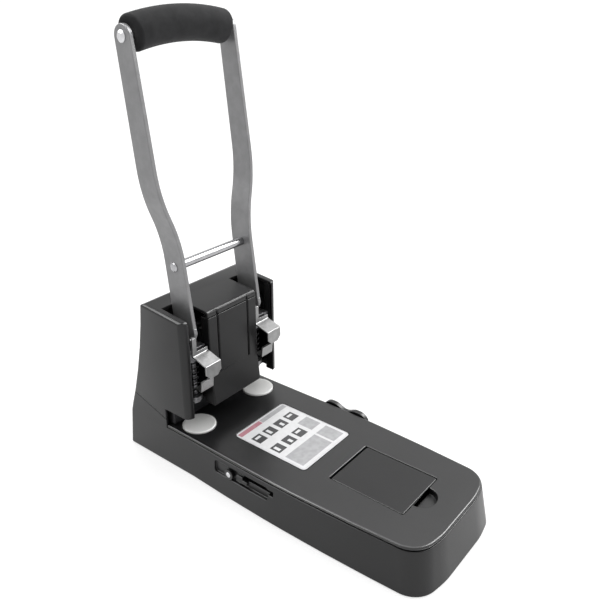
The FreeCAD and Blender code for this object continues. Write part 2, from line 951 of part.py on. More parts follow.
def spread_band(x_middle):
    """Band in front view that steps outwards in two equal arcs above the cross rod."""
    half = arm_thickness / 2.0
    bend_end = bend_start + bend_rise
    radius = ((bend_rise / 2.0) ** 2 + (arm_spread / 2.0) ** 2) / arm_spread
    turn = 2.0 * math.atan2(arm_spread / 2.0, bend_rise / 2.0)
    top = grip_z + overrun
    low = pivot_z - overrun

    def side_line(offset):
        near = radius - offset
        far = radius + offset
        low_centre = x_middle + radius
        high_centre = x_middle + arm_spread - radius
        return [
            Part.LineSegment(vec(x_middle + offset, 0, low), vec(x_middle + offset, 0, bend_start)).toShape(),
            arc_edge(
                vec(x_middle + offset, 0, bend_start),
                vec(low_centre - near * math.cos(turn / 2.0), 0, bend_start + near * math.sin(turn / 2.0)),
                vec(low_centre - near * math.cos(turn), 0, bend_start + near * math.sin(turn)),
            ),
            arc_edge(
                vec(high_centre + far * math.cos(turn), 0, bend_end - far * math.sin(turn)),
                vec(high_centre + far * math.cos(turn / 2.0), 0, bend_end - far * math.sin(turn / 2.0)),
                vec(x_middle + arm_spread + offset, 0, bend_end),
            ),
            Part.LineSegment(
                vec(x_middle + arm_spread + offset, 0, bend_end), vec(x_middle + arm_spread + offset, 0, top),
            ).toShape(),
        ]

    left = side_line(-half)
    right = side_line(half)
    caps = [
        Part.LineSegment(vec(x_middle - half, 0, low), vec(x_middle + half, 0, low)).toShape(),
        Part.LineSegment(
            vec(x_middle + arm_spread - half, 0, top), vec(x_middle + arm_spread + half, 0, top),
        ).toShape(),
    ]
    wire = Part.Wire(Part.__sortEdges__(left + right + caps))
    face = Part.Face(wire)
    face.translate(vec(0, -overrun * 2, 0))
    return face.extrude(vec(0, overrun * 5, 0))


def lever_arm():
    """Right arm: tapered bar, cam nose and pivot eye in side view, stepped outwards in front view."""
    x0 = arm_place - arm_thickness
    x1 = arm_place + arm_spread + arm_thickness
    lean = math.atan2(grip_y - rod_y, grip_z - rod_z)
    across = (math.cos(lean), -math.sin(lean))
    low_y = arm_line_y(arm_low_z)
    bar = Part.Face(Part.makePolygon([
        vec(x0, low_y - arm_half_low * across[0], arm_low_z - arm_half_low * across[1]),
        vec(x0, low_y + arm_half_low * across[0], arm_low_z + arm_half_low * across[1]),
        vec(x0, grip_y + arm_half_top * across[0], grip_z + arm_half_top * across[1]),
        vec(x0, grip_y - arm_half_top * across[0], grip_z - arm_half_top * across[1]),
        vec(x0, low_y - arm_half_low * across[0], arm_low_z - arm_half_low * across[1]),
    ])).extrude(vec(x1 - x0, 0, 0))
    top = rod(arm_half_top, vec(x0, grip_y, grip_z), vec(x1, grip_y, grip_z))
    eye = rod(eye_radius, vec(x0, pivot_y, pivot_z), vec(x1, pivot_y, pivot_z))
    side_view = fused([bar, top, eye, cam_nose(x0, x1)])
    arm = side_view.common(spread_band(arm_place))
    arm = arm.cut(rod(shaft_radius + running_gap, vec(0, pivot_y, pivot_z), vec(x1, pivot_y, pivot_z)))
    arm = arm.cut(rod(rod_radius, vec(0, rod_y, rod_z), vec(x1, rod_y, rod_z)))
    return arm.cut(rod(grip_bolt_radius, vec(0, grip_y, grip_z), vec(x1, grip_y, grip_z)))


def rivet_head(radius, height, start, direction):
    """Low rivet head, turned about its own axis: a short rim, a slope and a flat crown."""
    profile = Part.makePolygon([
        start,
        start.add(vec(0, radius, 0)),
        start.add(vec(direction * height * head_rim_share, radius, 0)),
        start.add(vec(direction * height, radius * head_crown_share, 0)),
        start.add(vec(direction * height, 0, 0)),
        start,
    ])
    return Part.Solid(Part.Face(profile).revolve(start, vec(1, 0, 0), 360.0))


def cross_rod():
    outer = arm_place + arm_thickness / 2.0
    bar = rod(rod_radius - running_gap, vec(-outer, rod_y, rod_z), vec(outer, rod_y, rod_z))
    inner = outer - arm_thickness
    collar = rod(rod_collar_radius, vec(-inner, rod_y, rod_z), vec(inner, rod_y, rod_z))
    heads = [
        rivet_head(rod_head_radius, rod_head_height, vec(side * outer, rod_y, rod_z), side) for side in sides
    ]
    return fused([bar, collar] + heads)


def arch(radius, bands):
    """Round bar on the flat arc between the arm tops, in this many short straight bands."""
    span = arm_place + arm_spread
    bend = (span * span + grip_rise * grip_rise) / (2.0 * grip_rise)
    sleeve_half = span - arm_thickness / 2.0 - grip_gap
    turn = 2.0 * math.asin(sleeve_half / bend) / grip_bands
    centre = vec(0, grip_y, grip_z + grip_rise - bend)
    angles = [(i - bands / 2.0) * turn for i in range(bands + 1)]
    points = [centre.add(vec(bend * math.sin(angle), 0, bend * math.cos(angle))) for angle in angles]
    section = Part.Wire(Part.makeCircle(radius, points[0], points[1].sub(points[0])))
    return Part.Solid(Part.makePolygon(points).makePipeShell([section], True, False, 1))


def grip():
    sleeve = arch(grip_radius, grip_bands)
    ends = [edge for edge in sleeve.Edges if edge.isClosed() and abs(edge.CenterOfMass.x) > arm_place]
    sleeve = sleeve.makeChamfer(grip_round, [max(ends, key=end_place), min(ends, key=end_place)])
    return sleeve.cut(arch(core_radius + core_gap, grip_bands + 2))


def end_place(edge):
    return edge.CenterOfMass.x


def grip_core():
    half = arm_place + arm_spread - arm_thickness / 2.0
    core = arch(core_radius, grip_bands + 2)
    clip = box(-half, half, grip_y - overrun, grip_y + overrun, grip_z - overrun, grip_z + overrun)
    return core.common(clip)


def grip_bolts():
    inner = arm_place + arm_spread - arm_thickness / 2.0
    bolts = []
    for side in sides:
        shank = rod(
            grip_bolt_radius - running_gap,
            vec(side * inner, grip_y, grip_z), vec(side * (inner + arm_thickness), grip_y, grip_z),
        )
        head = rivet_head(
            grip_head_radius, grip_head_height, vec(side * (inner + arm_thickness), grip_y, grip_z), side,
        )
        bolts.append(fused([shank, head]))
    return bolts


def pivot_shaft():
    reach = slot_outer + cheek_thickness + circlip_thickness + shaft_end
    shaft = rod(shaft_radius, vec(-reach, pivot_y, pivot_z), vec(reach, pivot_y, pivot_z))
    for clip in circlip_forms(circlip_groove):
        shaft = shaft.cut(clip)
    return shaft


def circlip_forms(depth):
    near = slot_outer + cheek_thickness + running_gap
    forms = []
    for side in sides:
        start = vec(side * near, pivot_y, pivot_z)
        end = vec(side * (near + circlip_thickness), pivot_y, pivot_z)
        forms.append(rod(circlip_radius, start, end).cut(rod(shaft_radius - depth, start, end)))
    return forms


def shaft_circlips():
    slit = circlip_radius / 2.0
    rings = []
    for ring in circlip_forms(circlip_groove - running_gap):
        mouth = wide_box(pivot_y - slit, pivot_y + slit, pivot_z - circlip_radius * 2, pivot_z)
        rings.append(ring.cut(mouth))
    return rings


def lever_spacers():
    """Plastic tubes on the shaft that keep the arms midway in their slots."""
    arm_inner = arm_place - arm_thickness / 2.0
    arm_outer = arm_place + arm_thickness / 2.0
    tubes = []
    for near, far in ((slot_inner_face, arm_inner), (arm_outer, slot_outer)):
        start = vec(near + side_gap, pivot_y, pivot_z)
        end = vec(far - side_gap, pivot_y, pivot_z)
        tube = rod(spacer_radius, start, end).cut(rod(shaft_radius + running_gap, start, end))
        tubes.extend([tube, mirrored(tube)])
    return tubes


# Punches: the same set stands in both slots, and only the blocks are handed

def punch_carrier(side):
    inner = slot_inner_face + carrier_gap
    outer = slot_outer - carrier_gap
    block = box(inner, outer, -carrier_half_depth, carrier_half_depth, carrier_bottom, carrier_top)
    if side < 0:
        block = mirrored(block)
    x = side * punch_x
    ear_right = x - clip_half + ear_gap + ear_thickness
    ear_left = ear_right - ear_thickness
    ear = box(ear_left, ear_right, hinge_y - ear_radius, -carrier_half_depth / 4.0, carrier_top - ear_radius, hinge_z)
    tip = rod(ear_radius, vec(ear_left, hinge_y, hinge_z), vec(ear_right, hinge_y, hinge_z))
    carrier = fused([block, ear, tip])
    socket = rod(hole_radius + running_gap, vec(x, 0, carrier_bottom), vec(x, 0, carrier_bottom + pin_socket))
    hinge = rod(
        hinge_pin_radius + running_gap, vec(ear_left - overrun, hinge_y, hinge_z), vec(x, hinge_y, hinge_z),
    )
    return carrier.cut(socket).cut(hinge)


def punch_pin(side):
    """Hollow pin with a two-pointed mouth and a flange that seats under the carrier."""
    x = side * punch_x
    top = carrier_bottom + pin_socket - running_gap
    pin = fused([
        rod(hole_radius, vec(x, 0, pin_tip), vec(x, 0, top)),
        rod(pin_flange_radius, vec(x, 0, pin_flange_low), vec(x, 0, carrier_bottom)),
    ])
    pin = pin.cut(rod(hole_radius - pin_wall, vec(x, 0, pin_tip - overrun), vec(x, 0, top + overrun)))
    mouth = Part.Face(Part.makePolygon([
        vec(x - hole_radius - pin_wall, -overrun, pin_tip),
        vec(x, -overrun, pin_tip + pin_mouth_cut),
        vec(x + hole_radius + pin_wall, -overrun, pin_tip),
        vec(x + hole_radius + pin_wall, -overrun, pin_tip - pin_wall),
        vec(x - hole_radius - pin_wall, -overrun, pin_tip - pin_wall),
        vec(x - hole_radius - pin_wall, -overrun, pin_tip),
    ])).extrude(vec(0, 2 * overrun, 0))
    return pin.cut(mouth)


def bent_strip(path, thickness, x0, x1):
    """Sheet strip whose inner face follows a path of (y, z) points; bends are rounded."""
    points = [FreeCAD.Vector(y, z, 0) for y, z in path]
    front = []
    for i, here in enumerate(points):
        normals = []
        if i > 0:
            run = here.sub(points[i - 1])
            normals.append(FreeCAD.Vector(run.y, -run.x, 0).normalize())
        if i < len(points) - 1:
            run = points[i + 1].sub(here)
            normals.append(FreeCAD.Vector(run.y, -run.x, 0).normalize())
        middle = normals[0].add(normals[-1]).normalize()
        front.append(here.add(middle.multiply(thickness / middle.dot(normals[0]))))
    radii = [0.0] + [clip_bend] * (len(points) - 2) + [0.0]
    corners = [(p.x, p.y, r) for p, r in zip(points, radii)]
    corners += [(p.x, p.y, r) for p, r in zip(reversed(front), reversed(radii))]
    return plate_yz(corners, x0, x1)


def release_clip(side):
    """Bent steel clip: strip and knuckle above, a thumb shelf, a waist, and a foot in front of the pin."""
    x = side * punch_x
    path = [
        (clip_back, clip_top_z),
        (clip_back, clip_shelf_z),
        (clip_front, clip_shelf_front_z),
        (clip_front, clip_front_low),
        (clip_knee_y, clip_knee_z),
        (clip_heel_y, clip_foot_z),
        (clip_foot_end, clip_foot_z),
    ]
    strip = bent_strip(path, clip_thickness, x - clip_half, x + clip_half)
    outline = plate_xz([
        (x - clip_half, clip_top_z + overrun, 0.0),
        (x + clip_strip_inner, clip_top_z + overrun, 0.0),
        (x + clip_strip_inner, clip_lip_z, clip_bend),
        (x + clip_half, clip_lip_z, clip_bend),
        (x + clip_half, clip_taper_z, clip_bend),
        (x + clip_waist_half, clip_waist_z, clip_bend),
        (x + clip_waist_half, clip_waist_low_z, clip_bend),
        (x + clip_foot_half, clip_foot_top_z, clip_bend),
        (x + clip_foot_half, clip_foot_z - overrun, 0.0),
        (x - clip_foot_half, clip_foot_z - overrun, 0.0),
        (x - clip_foot_half, clip_foot_top_z, clip_bend),
        (x - clip_waist_half, clip_waist_low_z, clip_bend),
        (x - clip_waist_half, clip_waist_z, clip_bend),
        (x - clip_half, clip_taper_z, clip_bend),
    ], -overrun * 2, overrun)
    knuckle = rod(
        knuckle_radius,
        vec(x - clip_half + ear_gap + ear_thickness + ear_gap, hinge_y, hinge_z),
        vec(x + clip_strip_inner, hinge_y, hinge_z),
    )
    clip = fused([strip.common(outline), knuckle])
    pin_bore = rod(
        hinge_pin_radius + running_gap, vec(x - overrun, hinge_y, hinge_z), vec(x, hinge_y, hinge_z),
    )
    return clip.cut(pin_bore)


def clip_pin(side):
    x = side * punch_x
    return rod(
        hinge_pin_radius,
        vec(x - clip_half + ear_gap, hinge_y, hinge_z), vec(x + clip_strip_inner + ear_gap, hinge_y, hinge_z),
    )


def biarc(start, start_way, end, end_way):
    """Two arcs that join two points and keep both directions."""
    chord = end.sub(start)
    ways = start_way.add(end_way)
    spread = 2.0 * (1.0 - start_way.dot(end_way))
    along = chord.dot(ways)
    reach = (math.sqrt(along * along + spread * chord.dot(chord)) - along) / spread
    joint = start.add(start_way * reach).add(end.sub(end_way * reach)) * 0.5
    return [tangent_arc(start, start_way, joint), tangent_arc(end, end_way * -1.0, joint)]


def tangent_arc(start, way, end):
    """Arc from a point in a given direction to another point, found by its middle."""
    chord = end.sub(start)
    length = chord.Length
    ahead = chord * (1.0 / length)
    turn = way.getAngle(chord)
    bulge = way.sub(ahead * way.dot(ahead)).normalize()
    middle = start.add(chord * 0.5).add(bulge * (length / 2.0 * math.tan(turn / 2.0)))
    return arc_edge(start, middle, end)


def coil_points(x, low, high):
    """Points and directions on the coil, two to a turn."""
    count = spring_turns * 2
    climb = (high - low) / (2.0 * math.pi * spring_turns)
    points = []
    for i in range(count + 1):
        angle = i * math.pi
        point = vec(
            x + spring_radius * math.cos(angle), spring_radius * math.sin(angle), low + (high - low) * i / count,
        )
        way = vec(-spring_radius * math.sin(angle), spring_radius * math.cos(angle), climb).normalize()
        points.append((point, way))
    return points


def return_spring(side):
    x = side * punch_x
    low = bush_top + spring_wire + spring_gap
    high = pin_flange_low - spring_wire - spring_gap
    marks = coil_points(x, low, high)
    edges = []
    for (start, start_way), (end, end_way) in zip(marks, marks[1:]):
        pair = biarc(start, start_way, end, end_way)
        edges.extend(pair)
    path = Part.Wire(Part.__sortEdges__(edges))
    first, way = marks[0]
    side = vec(1, 0, 0)
    up = way.cross(side)
    turns = [math.radians(60.0 * i) for i in range(7)]
    section = Part.makePolygon([
        first.add(side * (spring_wire * math.cos(turn))).add(up * (spring_wire * math.sin(turn))) for turn in turns
    ])
    return Part.Solid(path.makePipeShell([section], True, False))


def coil_gap():
    """Least gap between turns of one spring, measured on points along it."""
    low = bush_top + spring_wire + spring_gap
    high = pin_flange_low - spring_wire - spring_gap
    steps = spring_turns * 24
    places = []
    for i in range(steps + 1):
        angle = 2.0 * math.pi * spring_turns * i / steps
        places.append(vec(
            spring_radius * math.cos(angle), spring_radius * math.sin(angle), low + (high - low) * i / steps,
        ))
    gaps = [
        places[i].distanceToPoint(places[j])
        for i in range(len(places)) for j in range(i + 12, len(places))
    ]
    return min(gaps) - 2.0 * spring_wire


# Side guide

def guide_channel():
    """Folded channel that stands on the bottom pan and carries the guide bar."""
    inner_front = guide_bar_front - guide_slide_gap
    inner_back = guide_bar_back + guide_slide_gap
    top = guide_bar_low + guide_bar_thickness + guide_slide_gap
    outer = box(
        -channel_half, channel_half, inner_front - channel_wall, inner_back + channel_wall,
        pan_thickness, top + channel_wall,
    )
    hollow = box(
        -channel_half, channel_half, inner_front, inner_back, pan_thickness, guide_bar_low - guide_slide_gap - channel_wall,
    )
    bar_room = box(
        -channel_half, channel_half, inner_front, inner_back, guide_bar_low - guide_slide_gap, top,
    )
    slit = box(
        leaf_x - running_gap, leaf_x + leaf_thickness + running_gap, inner_back - guide_gap,
        inner_back + channel_wall + guide_gap,
        lock_z - lock_radius - running_gap, lock_z + lock_radius + running_gap,
    )
    return outer.cut(hollow).cut(bar_room).cut(slit)


def guide_bar():
    """Flat bar with a row of detent notches in its back edge."""
    end = flank_at(guide_bar_low) + plate_gap
    bar = box(
        guide_bar_end, end, guide_bar_front, guide_bar_back, guide_bar_low, guide_bar_low + guide_bar_thickness,
    )
    for i in range(notch_count):
        x = guide_bar_end + notch_pitch * (i + 1)
        bar = bar.cut(rod(
            detent_radius, vec(x, guide_bar_back, guide_bar_low - guide_gap),
            vec(x, guide_bar_back, guide_bar_low + guide_bar_thickness + guide_gap),
        ))
    return bar.cut(guide_plate())


def flank_at(z):
    """Widest half width of the base at this height."""
    return (base_half(z) + base_half(z, False)) / 2.0 + flank_bow


def guide_plate():
    """Side stop that hangs on the end of the bar, outside the right flank, with a two-lobed top."""
    near_low = flank_at(plate_low) + plate_gap
    near_high = flank_at(deck_height) + plate_gap
    section = Part.Face(Part.makePolygon([
        vec(near_low, guide_front, plate_low),
        vec(near_low + plate_thickness, guide_front, plate_low),
        vec(near_high + plate_thickness, guide_front, plate_high),
        vec(near_high, guide_front, plate_high),
        vec(near_low, guide_front, plate_low),
    ])).extrude(vec(0, guide_back - guide_front, 0))
    outline = plate_yz([
        (guide_front, plate_low, plate_round / 2.0),
        (guide_back, plate_low, plate_round / 2.0),
        (guide_back, plate_high, plate_round),
        (guide_front, plate_high, plate_round),
    ], 0.0, foot_half_rear + overrun)
    middle = (guide_front + guide_back) / 2.0
    split = plate_yz([
        (middle, plate_high - plate_split_depth, plate_split / 4.0),
        (middle + plate_split, plate_high + plate_split, 0.0),
        (middle - plate_split, plate_high + plate_split, 0.0),
    ], 0.0, foot_half_rear + overrun)
    return section.common(outline).cut(split)


def guide_lock():
    """Round button with a stem that reaches through the flank towards the leaf."""
    button = rod(
        lock_radius, vec(recess_floor - lock_stand, lock_y, lock_z),
        vec(recess_floor - lock_travel - seam_gap, lock_y, lock_z),
    )
    stem = rod(
        lock_stem_radius, vec(recess_floor - lock_travel - lock_stand / 2.0, lock_y, lock_z),
        vec(leaf_x - lock_travel - seam_gap, lock_y, lock_z),
    )
    return fused([button, stem])


def guide_leaf():
    """Leaf that stands in a slit of the channel, between the end of the lock's stem and the bar."""
    return box(
        leaf_x, leaf_x + leaf_thickness, guide_bar_back + guide_slide_gap / 2.0, lock_y + lock_stem_radius,
        lock_z - lock_radius, lock_z + lock_radius,
    )


def label_plate():
    return label_form(0.0, label_thickness)


def build():
    os.makedirs("parts", exist_ok=True)
    frame = side_frame()
    arm = lever_arm()
    clips = shaft_circlips()
    write("lower_shell", lower_shell())
    write("tower_cover", tower_cover())
    write("centre_cover", centre_cover())
    write("deck_cover", deck_cover())
    write("label_plate", label_plate())
    write("hatch_lid", hatch_lid())
    write("storage_tray", storage_tray())
    write("base_pan", base_pan())
    write("case_screws", case_screws())
    write("side_frame_right", frame)
    write("side_frame_left", mirrored(frame))
    write("paper_stop", paper_stop())
    write("anvil_bar", anvil_bar())
    write("lever_arm_right", arm)
    write("lever_arm_left", mirrored(arm))
    write("cross_rod", cross_rod())
    write("grip_sleeve", grip())
    write("grip_core", grip_core())
    write("grip_bolts", grip_bolts())
    write("pivot_shaft", pivot_shaft())
    write("shaft_circlips", clips)
    write("lever_spacers", lever_spacers())
    write("guide_channel", guide_channel())
    write("guide_bar", guide_bar())
    write("guide_plate", guide_plate())
    write("guide_lock", guide_lock())
    write("guide_leaf", guide_leaf())
    for side, name in zip(sides, ("left", "right")):
        write("cutting_disc_" + name, cutting_disc(side))
        write("guide_bush_" + name, guide_bush(side))
        write("punch_carrier_" + name, punch_carrier(side))
        write("punch_pin_" + name, punch_pin(side))
        write("release_clip_" + name, release_clip(side))
        write("clip_pin_" + name, clip_pin(side))
        write("return_spring_" + name, return_spring(side))
    print("stroke", round(stroke, 3), "least gap in a spring", round(coil_gap(), 2))


build()
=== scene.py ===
"""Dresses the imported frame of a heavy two-hole desk punch.

It adds finishes, softened edges, a foam grip, coils, a label and the studio.
"""

import logging
import math
from dataclasses import dataclass
from enum import Enum

import bmesh
import bpy
import numpy as np
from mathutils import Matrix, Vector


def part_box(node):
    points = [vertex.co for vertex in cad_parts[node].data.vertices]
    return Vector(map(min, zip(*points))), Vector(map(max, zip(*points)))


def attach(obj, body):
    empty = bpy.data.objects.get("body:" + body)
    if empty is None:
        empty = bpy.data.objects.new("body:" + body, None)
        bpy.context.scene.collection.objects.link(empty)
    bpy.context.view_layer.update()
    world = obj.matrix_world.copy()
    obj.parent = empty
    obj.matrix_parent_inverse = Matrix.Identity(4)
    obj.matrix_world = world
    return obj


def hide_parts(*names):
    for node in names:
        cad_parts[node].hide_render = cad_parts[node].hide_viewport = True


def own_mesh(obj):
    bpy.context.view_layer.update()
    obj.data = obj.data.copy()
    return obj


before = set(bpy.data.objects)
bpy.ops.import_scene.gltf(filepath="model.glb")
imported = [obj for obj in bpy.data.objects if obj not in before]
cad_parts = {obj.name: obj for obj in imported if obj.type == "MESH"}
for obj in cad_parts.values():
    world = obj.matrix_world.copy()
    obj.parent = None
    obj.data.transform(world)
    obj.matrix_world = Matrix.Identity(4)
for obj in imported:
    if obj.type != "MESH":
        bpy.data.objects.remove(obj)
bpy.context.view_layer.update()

MM = 0.001
FULL_TURN = 2.0 * math.pi
ACROSS = np.array([1.0, 0.0, 0.0])
BACKWARD = np.array([0.0, 1.0, 0.0])
UP = np.array([0.0, 0.0, 1.0])
WHITE = "#FFFFFF"

EDGE_ANGLE_DEG = 34.0
DISC_EDGE_ANGLE_DEG = 40.0
FLAT_ANGLE_DEG = 1.0
SAME_POINT_M = 1e-7
SAME_CAD_POINT_M = 2e-6
DECK_THICKNESS_MM = 2.2
SEAM_MM = 0.5
TONE_ENDS = (0.35, 0.65)
TONE_ROUGHNESS = 0.6
GRAIN_OCTAVES = 2.0

log = logging.getLogger("punch")

Rectangle = tuple[float, float, float, float]
Point = tuple[float, float, float]


def linear(hex_colour: str) -> tuple[float, float, float, float]:
    """Turn an sRGB hex colour into the linear one that a shader reads.

    Args:
        hex_colour: six hex digits after a hash.

    Returns:
        Linear red, green, blue and an alpha of one.
    """
    parts = [int(hex_colour[i:i + 2], 16) / 255.0 for i in (1, 3, 5)]
    bent = [p / 12.92 if p <= 0.04045 else ((p + 0.055) / 1.055) ** 2.4 for p in parts]
    return bent[0], bent[1], bent[2], 1.0


def add_node(
    tree: bpy.types.NodeTree, kind: str, settings: dict | None = None, links: dict | None = None
) -> bpy.types.Node:
    """Add one shader node with its settings and its incoming links.

    Args:
        tree: the material's or world's node tree.
        kind: the node's type name.
        settings: input name or attribute name to value.
        links: input name or index to the output socket that feeds it.

    Returns:
        The new node.
    """
    node = tree.nodes.new(kind)
    for key, value in (settings or {}).items():
        if key in node.inputs:
            node.inputs[key].default_value = value
        else:
            setattr(node, key, value)
    for key, socket in (links or {}).items():
        tree.links.new(socket, node.inputs[key])
    return node


# Finishes, each named for the real material

@dataclass(frozen=True)
class Finish:
    """A named material with two tones; its subclasses say how the real surface was made."""

    name: str
    slot: str
    dark: str
    roughness: float
    light: str

    def material(self) -> bpy.types.Material:
        """Return this finish's material, made on first use."""
        made = bpy.data.materials.get(self.name)
        if made is None:
            made = bpy.data.materials.new(self.name)
            made.use_nodes = True
            tree = made.node_tree
            tree.nodes.clear()
            shader = self.shade(tree)
            add_node(tree, "ShaderNodeOutputMaterial", links={"Surface": shader.outputs[0]})
        return made

    def shade(self, tree: bpy.types.NodeTree) -> bpy.types.Node:
        """Return the shader node of this finish; each subclass has its own."""
        raise NotImplementedError

    def drift(self, tree: bpy.types.NodeTree, size_mm: float, octaves: float) -> bpy.types.Node:
        """Return a ramp from the darker to the lighter tone over noise of a real size.

        Args:
            tree: the node tree.
            size_mm: width of one blotch.
            octaves: octaves of the noise.

        Returns:
            The colour ramp node.
        """
        place = add_node(tree, "ShaderNodeTexCoord")
        settings = {"Scale": 1.0 / (size_mm * MM), "Detail": octaves, "Roughness": TONE_ROUGHNESS}
        noise = add_node(tree, "ShaderNodeTexNoise", settings, {"Vector": place.outputs["Object"]})
        ramp = add_node(tree, "ShaderNodeValToRGB", links={"Fac": noise.outputs["Fac"]})
        low, high = ramp.color_ramp.elements
        low.position, high.position = TONE_ENDS
        low.color = linear(self.dark)
        high.color = linear(self.light)
        return ramp

    def grain(
        self, tree: bpy.types.NodeTree, size_mm: float, depth_mm: float, stretch: Point = (1.0, 1.0, 1.0)
    ) -> bpy.types.Node:
        """Return a bump node over noise of a real grain size.

        Args:
            tree: the node tree.
            size_mm: width of one grain.
            depth_mm: height of the grain.
            stretch: factors on the three axes, for grain that runs one way.

        Returns:
            The bump node.
        """
        place = add_node(tree, "ShaderNodeTexCoord")
        turn = add_node(tree, "ShaderNodeMapping", {"Scale": stretch}, {"Vector": place.outputs["Object"]})
        settings = {"Scale": 1.0 / (size_mm * MM), "Detail": GRAIN_OCTAVES}
        noise = add_node(tree, "ShaderNodeTexNoise", settings, {"Vector": turn.outputs["Vector"]})
        depth = {"Strength": 1.0, "Distance": depth_mm * MM}
        return add_node(tree, "ShaderNodeBump", depth, {"Height": noise.outputs["Fac"]})

    def surface(
        self, tree: bpy.types.NodeTree, settings: dict, drift_mm: float,
        bump: bpy.types.Node | None = None, octaves: float = 3.0,
    ) -> bpy.types.Node:
        """Return a surface shader whose colour drifts between the two tones.

        Args:
            tree: the node tree.
            settings: input name to value, beside the roughness.
            drift_mm: width of one blotch of colour.
            bump: the bump node, or nothing for a smooth surface.
            octaves: octaves of the colour's noise.

        Returns:
            The shader node.
        """
        links = {"Base Color": self.drift(tree, drift_mm, octaves).outputs["Color"]}
        if bump is not None:
            links["Normal"] = bump.outputs["Normal"]
        return add_node(tree, "ShaderNodeBsdfPrincipled", {"Roughness": self.roughness, **settings}, links)


@dataclass(frozen=True)
class MouldedPlastic(Finish):
    """Injection-moulded plastic with a fine spark grain and a soft even sheen."""

    shine: float = 0.5
    index: float = 1.52
    drift_mm: float = 26.0
    grain_mm: float = 0.9
    grain_depth_mm: float = 0.02

    def shade(self, tree: bpy.types.NodeTree) -> bpy.types.Node:
        """Return a dielectric shader with slow colour drift and a fine grain."""
        bump = self.grain(tree, self.grain_mm, self.grain_depth_mm)
        settings = {"IOR": self.index, "Specular IOR Level": self.shine}
        return self.surface(tree, settings, self.drift_mm, bump)


@dataclass(frozen=True)
class PaintedSteel(Finish):
    """Powder-coated pressed steel: silver-grey, satin, with a very fine orange peel."""

    metallic: float = 0.35
    drift_mm: float = 9.0
    peel_mm: float = 1.6
    peel_depth_mm: float = 0.015

    def shade(self, tree: bpy.types.NodeTree) -> bpy.types.Node:
        """Return a half metallic paint with flake-like drift."""
        bump = self.grain(tree, self.peel_mm, self.peel_depth_mm)
        return self.surface(tree, {"Metallic": self.metallic}, self.drift_mm, bump)


@dataclass(frozen=True)
class PlatedSteel(Finish):
    """Zinc-plated or drawn steel: bright, with faint drawing lines along one axis."""

    along: Point = (1.0, 1.0, 0.1)
    drift_mm: float = 7.0
    line_mm: float = 0.7
    line_depth_mm: float = 0.012

    def shade(self, tree: bpy.types.NodeTree) -> bpy.types.Node:
        """Return a metal with drawn lines and small cloudy changes of tone."""
        bump = self.grain(tree, self.line_mm, self.line_depth_mm, self.along)
        return self.surface(tree, {"Metallic": 1.0}, self.drift_mm, bump)


@dataclass(frozen=True)
class FoamRubber(Finish):
    """Closed-cell foam sleeve: dark and dull, with a soft dusty sheen and fine pores."""

    shine: float = 0.05
    dust: float = 0.08
    dust_roughness: float = 0.5
    drift_mm: float = 11.0
    pore_mm: float = 0.8
    pore_depth_mm: float = 0.05

    def shade(self, tree: bpy.types.NodeTree) -> bpy.types.Node:
        """Return a rough dielectric with pores."""
        bump = self.grain(tree, self.pore_mm, self.pore_depth_mm)
        settings = {
            "Specular IOR Level": self.shine,
            "Sheen Weight": self.dust,
            "Sheen Roughness": self.dust_roughness,
        }
        return self.surface(tree, settings, self.drift_mm, bump)


@dataclass(frozen=True)
class PrintedFilm(Finish):
    """Screen-printed polyester film: flat ink under a thin clear coat."""

    coat: float = 0.4
    coat_roughness: float = 0.15
    drift_mm: float = 5.0

    def shade(self, tree: bpy.types.NodeTree) -> bpy.types.Node:
        """Return flat ink with a light coat."""
        settings = {"Coat Weight": self.coat, "Coat Roughness": self.coat_roughness}
        return self.surface(tree, settings, self.drift_mm, octaves=1.0)


SHELL = MouldedPlastic("abs_shell_charcoal", "base_plastic", "#0F0F10", 0.3, "#131314", shine=0.36)
TOWER = MouldedPlastic("abs_tower_charcoal", "tower_plastic", "#121213", 0.3, "#161617", shine=0.34)
LID = MouldedPlastic("abs_lid_charcoal", "deck_plastic", "#0F0F10", 0.32, "#121213", shine=0.42)
DECK = MouldedPlastic("abs_deck_charcoal", "deck_plastic", "#111112", 0.3, "#151516", shine=0.62)
PLATE = MouldedPlastic("abs_front_plate", "deck_plastic", "#0D0D0E", 0.36, "#101011", shine=0.26)
GUIDE = MouldedPlastic("abs_guide_black", "guide_plastic", "#121213", 0.36, "#161617")
TRAY = MouldedPlastic("abs_tray_black", "base_plastic", "#121213", 0.5, "#161617")
NYLON = MouldedPlastic("nylon_natural", "inner_nylon", "#D6D2C4", 0.5, "#E0DCCF")
DISC = MouldedPlastic("acetal_disc_pale", "disc_plastic", "#ECECEA", 0.3, "#F2F2F0", grain_mm=1.4)
ARM = PaintedSteel("powder_coat_silver", "arm_steel", "#7C7C7D", 0.36, "#848485")
CLIP = PlatedSteel("zinc_bright_clip", "clip_steel", "#848484", 0.36, "#929292")
ROD = PlatedSteel("chromed_rod", "bright_rod", "#9A9A9C", 0.2, "#A8A8AA", along=(0.1, 1.0, 1.0))
ZINC = PlatedSteel("zinc_fastener", "zinc_steel", "#BEBEC0", 0.3, "#D4D4D6")
STEEL = PlatedSteel("cold_rolled_steel", "frame_steel", "#7C7C7E", 0.42, "#8E8E90")
DARK_STEEL = PlatedSteel("blackened_frame_steel", "frame_steel", "#2E2E30", 0.5, "#3A3A3C")
# Spring steel darkened to paint the shade on the coils deep in the punch slots; the guide leaf shares this
# colour.
SPRING_STEEL_SHADE_DARK = PlatedSteel("spring_steel_painted_shade", "spring_steel", "#1C1C1D", 0.4, "#242425")
FOAM = FoamRubber("foam_grip_black", "grip_foam", "#252526", 0.75, "#2D2D2E")
FILM = PrintedFilm("film_silver", "label_film", "#C8C8CA", 0.35, "#D0D0D2")
INK_DARK = PrintedFilm("ink_charcoal", "label_film", "#2C2C2E", 0.4, "#363638")
INK_GREY = PrintedFilm("ink_grey", "label_film", "#9C9C9E", 0.4, "#A8A8AA")
